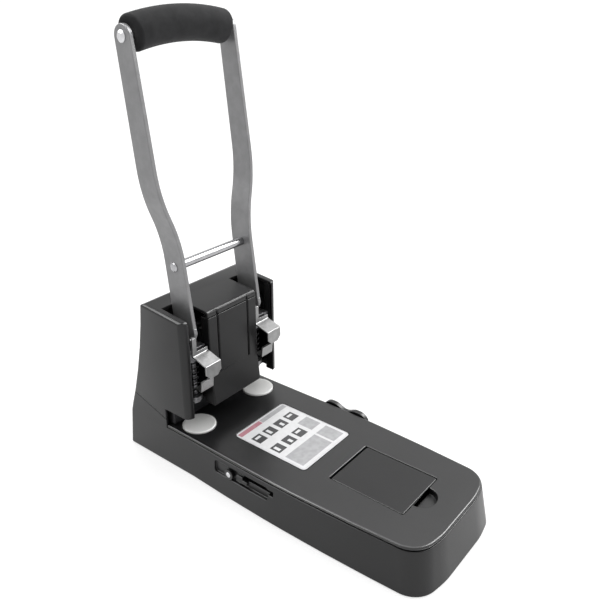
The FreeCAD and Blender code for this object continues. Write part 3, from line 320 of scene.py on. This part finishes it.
INK_RED = PrintedFilm("ink_dusty_red", "label_film", "#A8707A", 0.4, "#B27C86")
INK_WHITE = PrintedFilm("ink_white", "label_film", "#D2D2D3", 0.35, "#D8D8D9")


# Meshes

def place_piece(piece: bpy.types.Object, body: str, finish: Finish, *replaced: str) -> bpy.types.Object:
    """Give a finished piece its material, body and the nodes that it stands for.

    Args:
        piece: object at the origin.
        body: CAD body that it rides on.
        finish: its finish.
        replaced: CAD nodes that it replaces.

    Returns:
        The same object.
    """
    piece.data.materials.clear()
    piece.data.materials.append(finish.material())
    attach(piece, body)
    if replaced:
        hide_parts(*replaced)
    log.info("%s rides on %s", piece.name, body)
    return piece


def dress(finish: Finish, *nodes: str) -> None:
    """Give CAD nodes that stay as they are a finish.

    Args:
        finish: the finish.
        nodes: names of the nodes.
    """
    for name in nodes:
        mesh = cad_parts[name].data
        mesh.materials.clear()
        mesh.materials.append(finish.material())
        log.info("%s keeps its CAD shape", name)


def box_mm(node: str) -> tuple[np.ndarray, np.ndarray]:
    """Return a CAD node's lowest and highest corners at rest, in millimetres.

    Args:
        node: the node's name.

    Returns:
        The two corners.
    """
    low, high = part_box(node)
    return np.array(low) / MM, np.array(high) / MM


def link(name: str, mesh: bpy.types.Mesh) -> bpy.types.Object:
    """Put a mesh in the scene as an object at the origin.

    Args:
        name: the object's name.
        mesh: its mesh.

    Returns:
        The new object.
    """
    piece = bpy.data.objects.new(name, mesh)
    bpy.context.scene.collection.objects.link(piece)
    return piece


def shade_smooth(mesh: bpy.types.Mesh) -> None:
    """Shade all faces of a mesh smooth.

    Args:
        mesh: the mesh.
    """
    mesh.polygons.foreach_set("use_smooth", np.ones(len(mesh.polygons), bool))


def grid_piece(name: str, points: np.ndarray, wrap_rows: bool = False) -> bpy.types.Object:
    """Make an object from a grid of points, with equal points merged and faces turned outwards.

    The faces join point (i, j) to (i + 1, j), (i + 1, j + 1) and (i, j + 1).
    The last column joins the first.

    Args:
        name: the piece's name.
        points: rows by columns by three, in metres.
        wrap_rows: whether the last row joins the first too.

    Returns:
        The new object.
    """
    rows, columns = points.shape[:2]
    index = np.arange(rows * columns).reshape(rows, columns)
    low = index if wrap_rows else index[:-1]
    high = np.roll(index, -1, axis=0) if wrap_rows else index[1:]
    quads = np.stack([low, high, np.roll(high, -1, axis=1), np.roll(low, -1, axis=1)], axis=-1)
    mesh = bpy.data.meshes.new(name)
    mesh.from_pydata(points.reshape(-1, 3).tolist(), [], quads.reshape(-1, 4).tolist())
    work = bmesh.new()
    work.from_mesh(mesh)
    bmesh.ops.remove_doubles(work, verts=work.verts, dist=SAME_POINT_M)
    bmesh.ops.recalc_face_normals(work, faces=work.faces)
    work.to_mesh(mesh)
    work.free()
    shade_smooth(mesh)
    return link(name, mesh)


def rings(
    centres: np.ndarray, side: np.ndarray, other: np.ndarray, radii: np.ndarray, steps: int
) -> np.ndarray:
    """Set a circle at each centre: point = centre + radius * (cos(angle) * side + sin(angle) * other).

    Args:
        centres: the circles' centres, in millimetres.
        side: unit vector across at each centre.
        other: unit vector across at each centre, square to the side.
        radii: radius at each centre, in millimetres.
        steps: points round each circle.

    Returns:
        Grid of points in metres, one row for each centre.
    """
    angle = np.linspace(0.0, FULL_TURN, steps, endpoint=False)
    circle = np.cos(angle)[None, :, None] * side[:, None] + np.sin(angle)[None, :, None] * other[:, None]
    return (centres[:, None] + radii[:, None, None] * circle) * MM


def turned(
    name: str, profile: np.ndarray, centre: np.ndarray, axis: np.ndarray, steps: int
) -> bpy.types.Object:
    """Turn a profile about an axis: its rows are circles at centre + axis * height.

    Args:
        name: the piece's name.
        profile: rows of radius and height, in millimetres.
        centre: where height is zero, in millimetres.
        axis: unit vector of the axis.
        steps: points round the turn.

    Returns:
        The new object.
    """
    side = ACROSS if abs(axis @ UP) > 0.9 else np.cross(axis, UP)
    count = len(profile)
    side_rows = np.tile(side, (count, 1))
    other_rows = np.tile(np.cross(axis, side), (count, 1))
    centres = centre + profile[:, 1:2] * axis
    return grid_piece(name, rings(centres, side_rows, other_rows, profile[:, 0], steps))


def rounded_edges(piece: bpy.types.Object, edge_mm: float) -> None:
    """Round the sharp edges of a piece with a bevel.

    Args:
        piece: the piece.
        edge_mm: width of the rounded edge.
    """
    bevel = piece.modifiers.new("edge", "BEVEL")
    bevel.width = edge_mm * MM
    bevel.segments = 2
    bevel.limit_method = "ANGLE"
    bevel.angle_limit = math.radians(EDGE_ANGLE_DEG)
    bevel.use_clamp_overlap = False
    bevel.harden_normals = True


def softened(node: str, body: str, finish: Finish, edge_mm: float) -> bpy.types.Object:
    """Copy a CAD node, merge its flat triangles and round its edges, as a mould or press leaves them.

    Args:
        node: the node that the copy replaces.
        body: body that it rides on.
        finish: its finish.
        edge_mm: width of the rounded edge.

    Returns:
        The new object.
    """
    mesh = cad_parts[node].data.copy()
    mesh.name = node + "_soft"
    work = bmesh.new()
    work.from_mesh(mesh)
    bmesh.ops.remove_doubles(work, verts=work.verts, dist=SAME_CAD_POINT_M)
    flat = math.radians(FLAT_ANGLE_DEG)
    bmesh.ops.dissolve_limit(work, angle_limit=flat, verts=work.verts, edges=work.edges)
    work.to_mesh(mesh)
    work.free()
    if mesh.has_custom_normals:
        mesh.attributes.remove(mesh.attributes["custom_normal"])
    shade_smooth(mesh)
    mesh.set_sharp_from_angle(angle=math.radians(EDGE_ANGLE_DEG))
    piece = link(node + "_soft", mesh)
    rounded_edges(piece, edge_mm)
    return place_piece(piece, body, finish, node)


# Sub-assemblies

class Side(Enum):
    """The two punches, by the sign of their X."""

    LEFT = -1
    RIGHT = 1

    @property
    def word(self) -> str:
        """The side's name as nodes and bodies have it."""
        return self.name.lower()


@dataclass
class Housing:
    """The base with its deck, lid and tray, and the tower with its front plate."""

    edge_mm: float = 0.9
    rim_mm: float = 0.7
    shadow_gap_mm: float = 0.7

    def build(self) -> None:
        """Soften the mouldings that show and dress what lies inside."""
        self.lowered(softened("lower_shell", "base", SHELL, self.rim_mm))
        softened("deck_cover", "base", DECK, self.rim_mm)
        softened("tower_cover", "base", TOWER, self.edge_mm)
        softened("centre_cover", "base", PLATE, self.edge_mm)
        softened("hatch_lid", "hatch", LID, self.edge_mm)
        dress(TRAY, "storage_tray", "base_pan")
        dress(ZINC, "case_screws", "shaft_circlips")
        dress(DARK_STEEL, "side_frame_right", "side_frame_left", "anvil_bar", "paper_stop", "guide_channel")
        dress(NYLON, "lever_spacers")
        dress(STEEL, "pivot_shaft")

    def lowered(self, shell: bpy.types.Object) -> None:
        """Draw the shell's upper edge down a little under the deck, so that the seam shows as a dark line.

        Args:
            shell: the copy of the lower shell.
        """
        deck_low = box_mm("deck_cover")[1][2] - DECK_THICKNESS_MM
        places = np.empty(len(shell.data.vertices) * 3)
        shell.data.vertices.foreach_get("co", places)
        heights = places[2::3]
        heights[np.abs(heights / MM - deck_low) < SEAM_MM] -= self.shadow_gap_mm * MM
        shell.data.vertices.foreach_set("co", places)


@dataclass
class Label:
    """The printed panel on the deck: a header strip, two rows of pictograms and grey fields, no letters.

    Shares are left, front, right and back as parts of the panel, or of a pictogram.
    """

    film_edge_mm: float = 0.1
    border_mm: float = 1.8
    header_mm: float = 5.0
    ink_step_mm: float = 0.02
    red_share: float = 0.45
    header_gap_share: float = 0.01
    grey_shares: tuple[Rectangle, ...] = (
        (0.04, 0.04, 0.70, 0.30), (0.74, 0.04, 0.98, 0.30), (0.76, 0.38, 0.98, 0.60),
    )
    row_counts_and_shares: tuple[tuple[int, float], ...] = ((4, 0.68), (3, 0.39))
    row_start_share: float = 0.05
    pitch_share: float = 0.235
    tile_share: float = 0.17
    tile_stretch: float = 1.05
    window_shares: tuple[Rectangle, ...] = (
        (0.2, 0.55, 0.8, 0.8), (0.2, 0.2, 0.5, 0.8), (0.35, 0.15, 0.65, 0.6),
    )

    def build(self) -> None:
        """Lay the film and its printed fields, each ink a step above what it covers."""
        softened("label_plate", "base", FILM, self.film_edge_mm)
        low, high = box_mm("label_plate")
        left, front = low[:2] + self.border_mm
        right, back = high[:2] - self.border_mm
        panel = (left, front, right, back)
        wide = right - left
        header_front = back - self.header_mm
        red_end = left + wide * self.red_share
        grey_start = red_end + wide * self.header_gap_share
        grey = [(grey_start, header_front, right, back)]
        grey += [self.within(panel, share) for share in self.grey_shares]
        tiles = self.pictograms(panel)
        kinds = len(self.window_shares)
        windows = [self.within(tile, self.window_shares[i % kinds]) for i, tile in enumerate(tiles)]
        first, second, third = (high[2] + step * self.ink_step_mm for step in (1, 2, 3))
        self.print_fields("label_white", INK_WHITE, [panel], first)
        self.print_fields("label_header", INK_RED, [(left, header_front, red_end, back)], second)
        self.print_fields("label_grey", INK_GREY, grey, second)
        self.print_fields("label_pictograms", INK_DARK, tiles, second)
        self.print_fields("label_details", INK_WHITE, windows, third)

    def within(self, outer: Rectangle, share: Rectangle) -> Rectangle:
        """Return the rectangle that takes the given shares of another one.

        Args:
            outer: the other rectangle.
            share: the shares.

        Returns:
            Left, front, right and back in millimetres.
        """
        left, front, right, back = outer
        x0, x1 = (left + (right - left) * part for part in share[0::2])
        y0, y1 = (front + (back - front) * part for part in share[1::2])
        return x0, y0, x1, y1

    def pictograms(self, panel: Rectangle) -> list[Rectangle]:
        """Return the pictograms' tiles, row by row.

        Args:
            panel: the printed panel.

        Returns:
            The tiles, in millimetres.
        """
        left, front, right, back = panel
        wide = right - left
        tile_wide = wide * self.tile_share
        tile_deep = tile_wide * self.tile_stretch
        tiles = []
        for count, share in self.row_counts_and_shares:
            y = front + (back - front) * share
            for i in range(count):
                x = left + wide * (self.row_start_share + self.pitch_share * i)
                tiles.append((x, y, x + tile_wide, y + tile_deep))
        return tiles

    def print_fields(self, name: str, ink: Finish, fields: list[Rectangle], level: float) -> None:
        """Print flat rectangles of one ink.

        Args:
            name: the piece's name.
            ink: the ink.
            fields: the rectangles, in millimetres.
            level: their height in millimetres.
        """
        sides = np.array(fields)
        x = sides[:, [0, 2, 2, 0]]
        y = sides[:, [1, 1, 3, 3]]
        points = np.stack([x, y, np.full_like(x, level)], axis=-1).reshape(-1, 3) * MM
        faces = np.arange(len(points)).reshape(-1, 4)
        mesh = bpy.data.meshes.new(name)
        mesh.from_pydata(points.tolist(), [], faces.tolist())
        place_piece(link(name, mesh), "base", ink)


@dataclass
class Lever:
    """The forked hand lever: pressed arms, bright rod, foam grip on its steel core."""

    arm_edge_mm: float = 0.9
    rod_edge_mm: float = 0.2
    foam_radius_mm: float = 14.0
    foam_round_mm: float = 2.6
    foam_half_mm: float = 48.5
    bore_mm: float = 5.1
    rise_mm: float = 6.5
    half_span_mm: float = 54.5
    arc_steps: int = 60
    end_steps: int = 8
    round_steps: int = 64

    def build(self) -> None:
        """Build and dress the lever."""
        for side in Side:
            softened("lever_arm_" + side.word, "lever", ARM, self.arm_edge_mm)
        self.grip()
        softened("cross_rod", "lever", ROD, self.rod_edge_mm)
        dress(STEEL, "grip_core")
        dress(ZINC, "grip_bolts")

    def grip(self) -> None:
        """Carry a circle along the arc between the arm tops.

        The arc's radius is (half span squared + rise squared) / (2 rise). The circle's radius falls off in a
        quarter circle at both ends, and the first and last rings close on the bore.
        """
        core_low, core_high = box_mm("grip_core")
        y = (core_low[1] + core_high[1]) / 2.0
        top = box_mm("grip_sleeve")[1][2] - self.foam_radius_mm
        bend = (self.half_span_mm ** 2 + self.rise_mm ** 2) / (2.0 * self.rise_mm)
        reach = math.asin(self.foam_half_mm / bend)
        turn = self.foam_round_mm / bend
        quarter = np.linspace(0.0, math.pi / 2.0, self.end_steps)
        start = -reach + turn * (1.0 - np.cos(quarter))
        start_radii = self.foam_radius_mm - self.foam_round_mm * (1.0 - np.sin(quarter))
        middle = np.linspace(-reach + turn, reach - turn, self.arc_steps)[1:-1]
        middle_radii = np.full(len(middle), self.foam_radius_mm)
        angles = np.concatenate([start[:1], start, middle, -start[::-1], -start[:1]])
        bore = [self.bore_mm]
        radii = np.concatenate([bore, start_radii, middle_radii, start_radii[::-1], bore])
        flat = np.zeros_like(angles)
        path = np.stack([bend * np.sin(angles), flat + y, top - bend + bend * np.cos(angles)], axis=-1)
        way = np.stack([np.cos(angles), flat, -np.sin(angles)], axis=-1)
        side = np.tile(BACKWARD, (len(angles), 1))
        grid = rings(path, side, np.cross(way, side), radii, self.round_steps)
        place_piece(grid_piece("foam_grip", grid, wrap_rows=True), "lever", FOAM, "grip_sleeve")


@dataclass
class PunchSet:
    """One punch with its block, pin, coil, clip and the disc under it."""

    side: Side
    block_edge_mm: float = 0.3
    clip_edge_mm: float = 0.25
    spacing_mm: float = 80.0
    wire_mm: float = 0.6
    wire_steps: int = 12
    coil_mm: float = 5.0
    turns: float = 7.5
    end_turns: float = 0.8
    end_rise_wires: float = 2.2
    steps_per_turn: int = 28
    disc_offset_mm: float = 3.0
    disc_thick_mm: float = 4.0
    disc_round_mm: float = 0.9
    rim_steps: int = 7
    spigot_mm: float = 4.0
    dish_rim_mm: float = 2.2
    dish_slope_mm: float = 0.4
    dish_depth_mm: float = 0.15
    disc_steps: int = 96

    def build(self) -> None:
        """Build and dress this side's pieces."""
        word = self.side.word
        softened("punch_carrier_" + word, "punch_" + word, STEEL, self.block_edge_mm)
        dress(STEEL, "punch_pin_" + word, "guide_bush_" + word)
        dress(ZINC, "clip_pin_" + word)
        softened("release_clip_" + word, "clip_" + word, CLIP, self.clip_edge_mm)
        self.coil()
        self.disc()

    @property
    def x(self) -> float:
        """The punch's place across the machine, in millimetres."""
        return self.side.value * self.spacing_mm / 2.0

    def coil(self) -> None:
        """Carry the wire round a helix whose end turns lie close.

        The height climbs evenly over the middle turns, and by a few wires over each end turn.
        """
        node = "return_spring_" + self.side.word
        low, high = box_mm(node)
        bottom = low[2] + self.wire_mm
        top = high[2] - self.wire_mm
        share = np.linspace(0.0, 1.0, int(self.turns * self.steps_per_turn) + 1)
        end = self.end_turns / self.turns
        end_rise = self.end_rise_wires * self.wire_mm
        climb = np.clip((share - end) / (1.0 - 2.0 * end), 0.0, 1.0)
        ends = np.clip(share / end, 0.0, 1.0) + np.clip((share - 1.0 + end) / end, 0.0, 1.0)
        height = bottom + climb * (top - bottom - 2.0 * end_rise) + end_rise * ends
        angle = FULL_TURN * self.turns * share
        across = np.stack([np.cos(angle), np.sin(angle), np.zeros_like(angle)], axis=-1)
        path = across * self.coil_mm + np.array([self.x, 0.0, 0.0]) + height[:, None] * UP
        grid = self.wire(path, across)
        start, finish = (np.tile(row.mean(0), (1, self.wire_steps, 1)) for row in (grid[0], grid[-1]))
        piece = grid_piece("coil_" + self.side.word, np.concatenate([start, grid, finish]))
        # The coil takes the spring colour that is darkened to paint the shade inside the slot.
        place_piece(piece, "base", SPRING_STEEL_SHADE_DARK, node)
        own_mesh(piece)

    def wire(self, path: np.ndarray, across: np.ndarray) -> np.ndarray:
        """Carry the wire's circle along a path, square to it.

        Args:
            path: centres, in millimetres.
            across: rough side vector at each centre.

        Returns:
            Grid of points in metres, one row for each centre.
        """
        way = np.gradient(path, axis=0)
        way = way / np.linalg.norm(way, axis=1, keepdims=True)
        side = across - (across * way).sum(1, keepdims=True) * way
        side = side / np.linalg.norm(side, axis=1, keepdims=True)
        return rings(path, side, np.cross(way, side), np.full(len(path), self.wire_mm), self.wire_steps)

    def disc(self) -> None:
        """Turn the cutting disc: a quarter round rim, a shallow dish and the spigot below."""
        node = "cutting_disc_" + self.side.word
        low, high = box_mm(node)
        radius = (high[0] - low[0]) / 2.0
        bottom, top = low[2], high[2]
        under = top - self.disc_thick_mm
        quarter = np.linspace(0.0, math.pi / 2.0, self.rim_steps)
        rim_radii = radius - self.disc_round_mm * (1.0 - np.cos(quarter))
        rim_heights = top - self.disc_round_mm * (1.0 - np.sin(quarter))
        dish = radius - self.dish_rim_mm
        floor = top - self.dish_depth_mm
        profile = np.concatenate([
            [[0.0, bottom], [self.spigot_mm, bottom], [self.spigot_mm, under], [radius, under]],
            np.stack([rim_radii, rim_heights], axis=-1),
            [[dish, top], [dish - self.dish_slope_mm, floor], [0.0, floor]],
        ])
        centre = np.array([self.x, -self.disc_offset_mm, 0.0])
        piece = turned("disc_" + self.side.word, profile, centre, UP, self.disc_steps)
        piece.data.set_sharp_from_angle(angle=math.radians(DISC_EDGE_ANGLE_DEG))
        place_piece(piece, "disc_" + self.side.word, DISC, node)


@dataclass
class SideGuide:
    """The sliding paper guide with its bar, channel, lock button and leaf."""

    columns: int = 49
    end_round_mm: float = 9.0
    foot_round_mm: float = 4.5
    dip_mm: float = 4.0
    crown_drop_mm: float = 0.8
    stop_edge_mm: float = 0.6
    lock_edge_mm: float = 0.3
    dot_mm: float = 2.4
    dot_rise_mm: float = 0.4
    dot_steps: int = 32

    def build(self) -> None:
        """Build the stop and dress the rest."""
        self.stop()
        softened("guide_lock", "lock_button", GUIDE, self.lock_edge_mm)
        self.lock_dot()
        dress(GUIDE, "guide_bar")
        # The leaf shares the spring colour that is darkened to paint the coils' shade.
        dress(SPRING_STEEL_SHADE_DARK, "guide_leaf")

    def lock_dot(self) -> None:
        """Turn the bright round head that sits in the middle of the lock button."""
        low, high = box_mm("guide_lock")
        centre = (low + high) / 2.0
        centre[0] = low[0]
        radius, rise = self.dot_mm, self.dot_rise_mm
        profile = np.array([
            [0.0, -rise], [radius, -rise], [radius, rise / 2.0], [radius - rise / 2.0, rise], [0.0, rise],
        ])
        place_piece(turned("lock_dot", profile, centre, -ACROSS, self.dot_steps), "lock_button", ZINC)

    def stop(self) -> None:
        """Cut the stop's outline column by column: its top is two humps, and its ends are rounded.

        With t from 0 to 1 along the plate, the top lies below its crown by
        dip * (1 - cos(4 pi (t - 1/4))) / 2 over the middle half, and by a quarter circle at both ends.
        The two faces lean as the flank behind does.
        """
        low, high = box_mm("guide_plate")
        front, back, foot, head = low[1], high[1], low[2], high[2]
        near_foot, near_head, thick = self.section(foot, head)
        lean = (near_head - near_foot) / (head - foot)
        share = (1.0 - np.cos(np.linspace(0.0, math.pi, self.columns))) / 2.0
        y = front + (back - front) * share
        inner = np.minimum(y - front, back - y)
        wave = self.dip_mm * (1.0 - np.cos(2.0 * FULL_TURN * (share - 0.25))) / 2.0
        dip = np.where(np.abs(share - 0.5) < 0.25, wave, 0.0)
        top = head - self.crown_drop_mm - dip - self.corner_fall(inner, self.end_round_mm)
        bottom = foot + self.corner_fall(inner, self.foot_round_mm)
        near_low = near_foot + lean * (bottom - foot)
        near_high = near_foot + lean * (top - foot)
        ring = [(near_low, bottom), (near_high, top), (near_high + thick, top), (near_low + thick, bottom)]
        points = np.stack([np.stack([x, y, z], axis=-1) for x, z in ring], axis=1)
        ends = points[[0, -1]].mean(1, keepdims=True).repeat(len(ring), 1)
        piece = grid_piece("guide_stop", np.concatenate([ends[:1], points, ends[1:]]) * MM)
        piece.data.set_sharp_from_angle(angle=math.radians(EDGE_ANGLE_DEG))
        rounded_edges(piece, self.stop_edge_mm)
        place_piece(piece, "side_guide", GUIDE, "guide_plate")

    def section(self, foot: float, head: float) -> tuple[float, float, float]:
        """Read the plate's inner face at foot and head, and its thickness, from the corners of its node.

        Args:
            foot: lowest height in millimetres.
            head: highest height in millimetres.

        Returns:
            Inner face's X at the foot and at the head, and the thickness, in millimetres.
        """
        near = 0.1
        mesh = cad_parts["guide_plate"].data
        places = np.array([vertex.co[:] for vertex in mesh.vertices]) / MM
        at_foot = places[places[:, 2] < foot + near, 0]
        at_head = places[places[:, 2] > head - near, 0]
        return at_foot.min(), at_head.min(), at_foot.max() - at_foot.min()

    def corner_fall(self, inner: np.ndarray, radius: float) -> np.ndarray:
        """Return how far a rounded corner's arc lies inside its square corner.

        Args:
            inner: distances from the end, in millimetres.
            radius: the corner's radius, in millimetres.

        Returns:
            The arc's distance from the square corner's side, in millimetres.
        """
        reach = np.clip(radius - inner, 0.0, radius)
        return radius - np.sqrt(radius ** 2 - reach ** 2)


# Studio

@dataclass(frozen=True)
class Lamp:
    """A square soft lamp; a glint only shows as a highlight, as a strip of reflector does."""

    name: str
    place: Point
    size: float
    power: float
    is_glint: bool = False

    def hang(self, target: Point) -> None:
        """Hang the lamp so that it faces a point.

        Args:
            target: the point, in metres.
        """
        data = bpy.data.lights.new(self.name, "AREA")
        data.shape = "SQUARE"
        data.size = self.size
        data.energy = self.power
        piece = bpy.data.objects.new(self.name, data)
        piece.location = self.place
        aim = Vector(target) - piece.location
        piece.rotation_euler = aim.to_track_quat("-Z", "Y").to_euler()
        piece.visible_diffuse = not self.is_glint
        bpy.context.scene.collection.objects.link(piece)


LAMPS = (
    Lamp("overhead", (0.3, 0.2, 1.9), 1.2, 14.0),
    Lamp("front_right", (1.26, -0.84, 1.1), 0.9, 8.0),
    Lamp("rim_left", (-0.85, 0.95, 1.4), 1.2, 34.0, is_glint=True),
    Lamp("rim_front", (1.32, -0.77, 1.7), 1.2, 52.0, is_glint=True),
)


@dataclass
class Studio:
    """A pale floor, soft lamps and the camera at the photograph's angle."""

    target: Point = (0.0, -0.08, 0.12)
    floor_half: float = 12.0
    floor_colour: str = "#AAAAAA"
    floor_glow: float = 0.7
    bright_side: Point = (0.9, 0.25, 0.35)
    dim_level: float = 0.1
    bright_level: float = 1.6
    camera_mm: Point = (-403.08, -409.31, 416.73)
    tilt_deg: float = 64.97
    yaw_deg: float = -51.53
    lens_mm: float = 42.21
    sensor_mm: float = 36.0

    def build(self) -> None:
        """Make the stage, lamps, world and camera."""
        self.floor()
        for lamp in LAMPS:
            lamp.hang(self.target)
        self.world()
        self.camera()

    def floor(self) -> None:
        """Lay a wide pale floor that shows white and keeps the object's shadow."""
        mesh = bpy.data.meshes.new("floor")
        half = self.floor_half
        corners = [(-half, -half, 0.0), (half, -half, 0.0), (half, half, 0.0), (-half, half, 0.0)]
        mesh.from_pydata(corners, [], [(0, 1, 2, 3)])
        made = bpy.data.materials.new("studio_floor")
        made.use_nodes = True
        tree = made.node_tree
        tree.nodes.clear()
        paint = add_node(tree, "ShaderNodeBsdfDiffuse", {"Color": linear(self.floor_colour)})
        glow = add_node(tree, "ShaderNodeEmission", {"Color": linear(WHITE), "Strength": self.floor_glow})
        both = add_node(tree, "ShaderNodeAddShader", links={0: paint.outputs[0], 1: glow.outputs[0]})
        add_node(tree, "ShaderNodeOutputMaterial", links={"Surface": both.outputs[0]})
        mesh.materials.append(made)
        link("floor", mesh)

    def world(self) -> None:
        """Light from all round, more from the bright side, and show plain white wherever the world is seen.

        It is seen by the camera, in reflections and through clear pieces.
        """
        world = bpy.data.worlds.new("studio")
        bpy.context.scene.world = world
        world.use_nodes = True
        tree = world.node_tree
        tree.nodes.clear()
        ray = add_node(tree, "ShaderNodeLightPath")
        mirrored = add_node(
            tree, "ShaderNodeMath", {"operation": "MAXIMUM"},
            {0: ray.outputs["Is Glossy Ray"], 1: ray.outputs["Is Transmission Ray"]},
        )
        seen = add_node(
            tree, "ShaderNodeMath", {"operation": "MAXIMUM"},
            {0: ray.outputs["Is Camera Ray"], 1: mirrored.outputs[0]},
        )
        way = add_node(tree, "ShaderNodeTexCoord")
        facing = add_node(
            tree, "ShaderNodeVectorMath", {"operation": "DOT_PRODUCT"}, {0: way.outputs["Generated"]}
        )
        facing.inputs[1].default_value = self.bright_side
        level = add_node(
            tree, "ShaderNodeMapRange",
            {"From Min": -1.0, "From Max": 1.0, "To Min": self.dim_level, "To Max": self.bright_level},
            {"Value": facing.outputs["Value"]},
        )
        light = add_node(
            tree, "ShaderNodeBackground", {"Color": linear(WHITE)}, {"Strength": level.outputs["Result"]}
        )
        plain = add_node(tree, "ShaderNodeBackground", {"Color": linear(WHITE), "Strength": 1.0})
        either = {0: seen.outputs[0], 1: light.outputs[0], 2: plain.outputs[0]}
        mix = add_node(tree, "ShaderNodeMixShader", links=either)
        add_node(tree, "ShaderNodeOutputWorld", links={"Surface": mix.outputs[0]})

    def camera(self) -> None:
        """Set the camera where the photograph was taken from."""
        data = bpy.data.cameras.new("camera")
        data.lens = self.lens_mm
        data.sensor_width = self.sensor_mm
        piece = bpy.data.objects.new("camera", data)
        piece.location = tuple(value * MM for value in self.camera_mm)
        piece.rotation_euler = (math.radians(self.tilt_deg), 0.0, math.radians(self.yaw_deg))
        bpy.context.scene.collection.objects.link(piece)
        bpy.context.scene.camera = piece
        bpy.context.scene.view_settings.view_transform = "Standard"


def main() -> None:
    """Build the sub-assemblies in order, then the studio."""
    logging.basicConfig(level=logging.INFO, format="%(name)s: %(message)s")
    Housing().build()
    Label().build()
    Lever().build()
    for side in Side:
        PunchSet(side).build()
    SideGuide().build()
    Studio().build()


if __name__ == "__main__":
    main()
